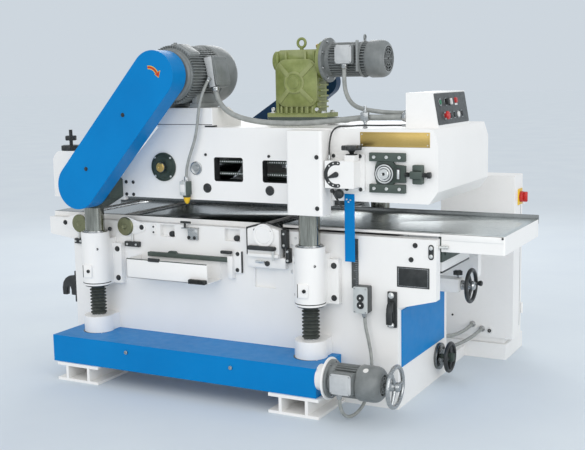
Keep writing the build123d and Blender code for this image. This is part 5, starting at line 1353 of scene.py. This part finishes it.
pivot = [(0, -12), (6, -12), (6, 0), (11, 0), (11, 7), (8, 9), (0, 9)]
hand.prism(pointer, (-475.5, -471.5), soft=0.8)
hand.turned((POINTER_X, -471.5, POINTER_Z), FRONT, pivot, 28)
piece("pointer_hand", hand, BLACK, "gauge_pointer", "gauge_pointer")
STAR_X, STAR_Y, _ = middle_of("star_knob")
stem = [(0, 1178.5), (8, 1178.5), (8, 1222.6), (27, 1222.6), (27, 1226), (9, 1227.5), (12, 1234), (22, 1246),
        (0, 1246)]
knob, lever = shapes(2)
knob.turned((STAR_X, STAR_Y, 0), UP, stem, 32)
knob.prism(lobed((STAR_X, STAR_Y), 50.5, 8, 8), (1245, 1266), "XY", soft=4)
piece("star_knob_grip", knob, BLACK, "star_knob", "star_knob")
BALL, LEVER_HUB = (813, -455, 1042), (778, -455, 1055)
lever.ball(BALL, 23)
lever.tube([LEVER_HUB, BALL], 4, 12)
lever.tube([(773, -455, 1062), (828, -455, 975)], 5, 12)
lever.collar((778, -462, 1055), BACK, 9, 4.4, 14)
lever.turned((778, -462.2, 1055), FRONT, [(0, 0), (9, 0), (7, 3), (0, 4)], 20)
piece("ball_lever_ball", lever, BLACK, "ball_lever", "ball_lever")

# Limit switch and the hanging strip's screws
PLUNGER_X, SWITCH_Y = -69, -403
PLUNGER = [(0, 0), (5, 0), (10, 5), (17, 24), (17, 36), (0, 36)]
switch, sides, tip, label = shapes(4)
switch.block((-98, -61), on_face(PLATE, 46), (996, 1068), soft=3)
switch.disc((-80, SWITCH_Y, 1067), UP, 15, 6, soft=1.5)
sides.block((-62, -54), on_face(PLATE, 44), (998, 1066), soft=2)
label.prism(rounded((-80, 1032), 28, 40, 5), (-427, -424), soft=0.5)
sides.disc((PLUNGER_X, SWITCH_Y, 986), UP, 20, 12, soft=1.5)
tip.turned((PLUNGER_X, SWITCH_Y, 952), UP, PLUNGER, 28)
for z in (1004, 1060):
    head_screws.cap_screw((-80, -PLATE - 45.5, z), FRONT, 3.5)
for x, z in ((819, 1008), (838, 1006), (828, 996)):
    head_screws.cap_screw((x, -PLATE - 3.5, z), FRONT, 4)
piece("limit_switch_body", switch, BOX_GREY, "head", "limit_switch")
piece("limit_switch_side", sides, IRON, "head")
piece("limit_switch_label", label, CREAM, "head")
piece("limit_switch_tip", tip, YELLOW, "head")

# Reducer: convex cover of rings (width, height, corner radius, Y), diagonal ribs, foot ribs, plug and rail
REDUCER_X, REDUCER_Z = 394, middle_of("reducer_shaft")[2]
COVER_X, COVER_Z = 397, 1551
COVER_RINGS = [(236, 240, 56, -62), (236, 240, 56, -67), (228, 232, 54, -71), (150, 152, 60, -82),
               (118, 118, 58.9, -86)]
BOSS = [(0, 0), (56, 0), (56, 6), (52, 9), (44, 9), (41, 6), (0, 6)]
FILLER_PLUG = [(0, 0), (13, 0), (13, 10), (17, 12), (17, 26), (11, 30), (0, 30)]
cover_rings = []
for width, height, radius, y in COVER_RINGS:
    cover_rings.append([(x, y, z) for x, z in rounded((COVER_X, COVER_Z), width, height, radius)])
reducer, plug, rail = shapes(3)
reducer.skin(cover_rings)
reducer.turned((REDUCER_X, -84, REDUCER_Z), FRONT, BOSS, 44)
reducer.disc((REDUCER_X, -89, REDUCER_Z), FRONT, 30, 5, soft=1.5)
for step in range(4):
    turn = Matrix.Rotation(math.pi / 4 + math.pi / 2 * step, 4, "Y")
    rib = Shape()
    rib.prism([(46, -70), (46, -94), (134, -78), (140, -70)], (-12, 12), "XY", soft=3)
    rib.place(Matrix.Translation((COVER_X, 0, COVER_Z)) @ turn)
    reducer.take(rib.mesh)
for x in range(300, 490, 30):
    reducer.block((x, x + 11), (-66, -48), (1398, 1434), soft=2)
for x in (250, 540):
    for y in (-46, 56):
        head_screws.hex_bolt((x, y, 1398.5), UP, 12)
for x in (258, 509):
    head_screws.cap_screw((x, -60, 1418), FRONT, 10)
rail.block((222, 668), (-61, -14), (1350, 1377.6), soft=2)
for x in (236, 654):
    rail.hex_bolt((x, -60.5, 1364), FRONT, 7)
piece("reducer_rail", rail, IRON, "head")
plug.turned((496, 0, 1716), UP, FILLER_PLUG, 20)
piece("reducer_cover", reducer, GREEN, "head")
piece("reducer_plug", plug, BRASS, "head")
piece("head_screws", head_screws, ZINC, "head")
piece("head_dark_bolts", head_bolts, BLACK, "head")

# Camera at the photograph's place: position in metres, turn, pitch and roll in degrees
CAMERA_AT = (2.789, -4.654, 1.587)
YAW, PITCH, ROLL = math.radians(27.909), math.radians(8.432), math.radians(-1.062)
IMAGE_WIDTH, FOCAL_PIXELS = 585, 1004.7
SENSOR = 36.0
forward = Vector((-math.sin(YAW) * math.cos(PITCH), math.cos(YAW) * math.cos(PITCH), -math.sin(PITCH)))
level = Vector((math.cos(YAW), math.sin(YAW), 0))
upright = level.cross(forward)
camera_right = level * math.cos(ROLL) + upright * math.sin(ROLL)
camera_up = upright * math.cos(ROLL) - level * math.sin(ROLL)
camera_data = bpy.data.cameras.new("camera")
camera_data.sensor_fit = "HORIZONTAL"
camera_data.sensor_width = SENSOR
camera_data.lens = FOCAL_PIXELS / IMAGE_WIDTH * SENSOR
camera_data.clip_end = 200
camera = bpy.data.objects.new("camera", camera_data)
camera.matrix_world = Matrix((camera_right, camera_up, -forward)).transposed().to_4x4()
camera.location = CAMERA_AT
bpy.context.scene.collection.objects.link(camera)
bpy.context.scene.camera = camera

# Stage: a pale blue floor that meets a pale blue background, and soft lamps
BACKDROP, GLOW = (0.612, 0.672, 0.73), 0.78
FLOOR_DARK, FLOOR_LIGHT = (0.665, 0.735, 0.805), (0.695, 0.765, 0.825)
FLOOR_HALF = 80
floor_corners = [(x * FLOOR_HALF, y * FLOOR_HALF, 0) for x, y in ((-1, -1), (1, -1), (1, 1), (-1, 1))]
floor_mesh = bpy.data.meshes.new("floor")
floor_mesh.from_pydata(floor_corners, [], [(0, 1, 2, 3)])
floor_look = Finish("pale_floor", Specular_IOR_Level=0.0)
floor_tone = floor_look.ramp(floor_look.noise(1.5, 4), (0.3, FLOOR_DARK), (0.7, FLOOR_LIGHT))
floor_mesh.materials.append(floor_look.wear(floor_tone, floor_look.range(floor_look.noise(12), 0.6, 0.75)))
floor = bpy.data.objects.new("floor", floor_mesh)
bpy.context.scene.collection.objects.link(floor)

# The camera and mirrors see the backdrop; the object is lit by a plain white glow
world = bpy.data.worlds.new("studio")
bpy.context.scene.world = world
world.use_nodes = True
sky = world.node_tree
sky.nodes.clear()
rays = sky.nodes.new("ShaderNodeLightPath")
seen = rays.outputs["Is Camera Ray"]
for kind in ("Is Glossy Ray", "Is Transmission Ray"):
    either = sky.nodes.new("ShaderNodeMath")
    either.operation = "MAXIMUM"
    sky.links.new(seen, either.inputs[0])
    sky.links.new(rays.outputs[kind], either.inputs[1])
    seen = either.outputs[0]
mixed = sky.nodes.new("ShaderNodeMixShader")
sky.links.new(seen, mixed.inputs["Fac"])
for socket, colour, strength in ((1, (1, 1, 1), GLOW), (2, BACKDROP, 1.0)):
    background = sky.nodes.new("ShaderNodeBackground")
    background.inputs["Color"].default_value = (*colour, 1)
    background.inputs["Strength"].default_value = strength
    sky.links.new(background.outputs[0], mixed.inputs[socket])
sky.links.new(mixed.outputs[0], sky.nodes.new("ShaderNodeOutputWorld").inputs["Surface"])


def lamp(kind, name, at, target, power):
    """Lamp aimed at a point."""
    data = bpy.data.lights.new(name, kind)
    data.energy = power
    made = bpy.data.objects.new(name, data)
    made.location = at
    made.rotation_euler = (Vector(target) - Vector(at)).to_track_quat("-Z", "Y").to_euler()
    bpy.context.scene.collection.objects.link(made)
    return data


# The key is a wide soft sun from the front; two large panels lift the right side and the back
TARGET = (0, 0, 0.9)
KEY_AT, KEY_STRENGTH, KEY_SPREAD = (0.8, -5.0, 2.8), 0.95, math.radians(70)
PANEL_SIZE = 3.0
lamp("SUN", "key", KEY_AT, TARGET, KEY_STRENGTH).angle = KEY_SPREAD
for name, at, power in (("fill", (5.8, -2.6, 2.0), 70), ("rear", (-2.0, 4.6, 3.4), 60)):
    lamp("AREA", name, at, TARGET, power).size = PANEL_SIZE
bpy.context.scene.view_settings.view_transform = "Standard"
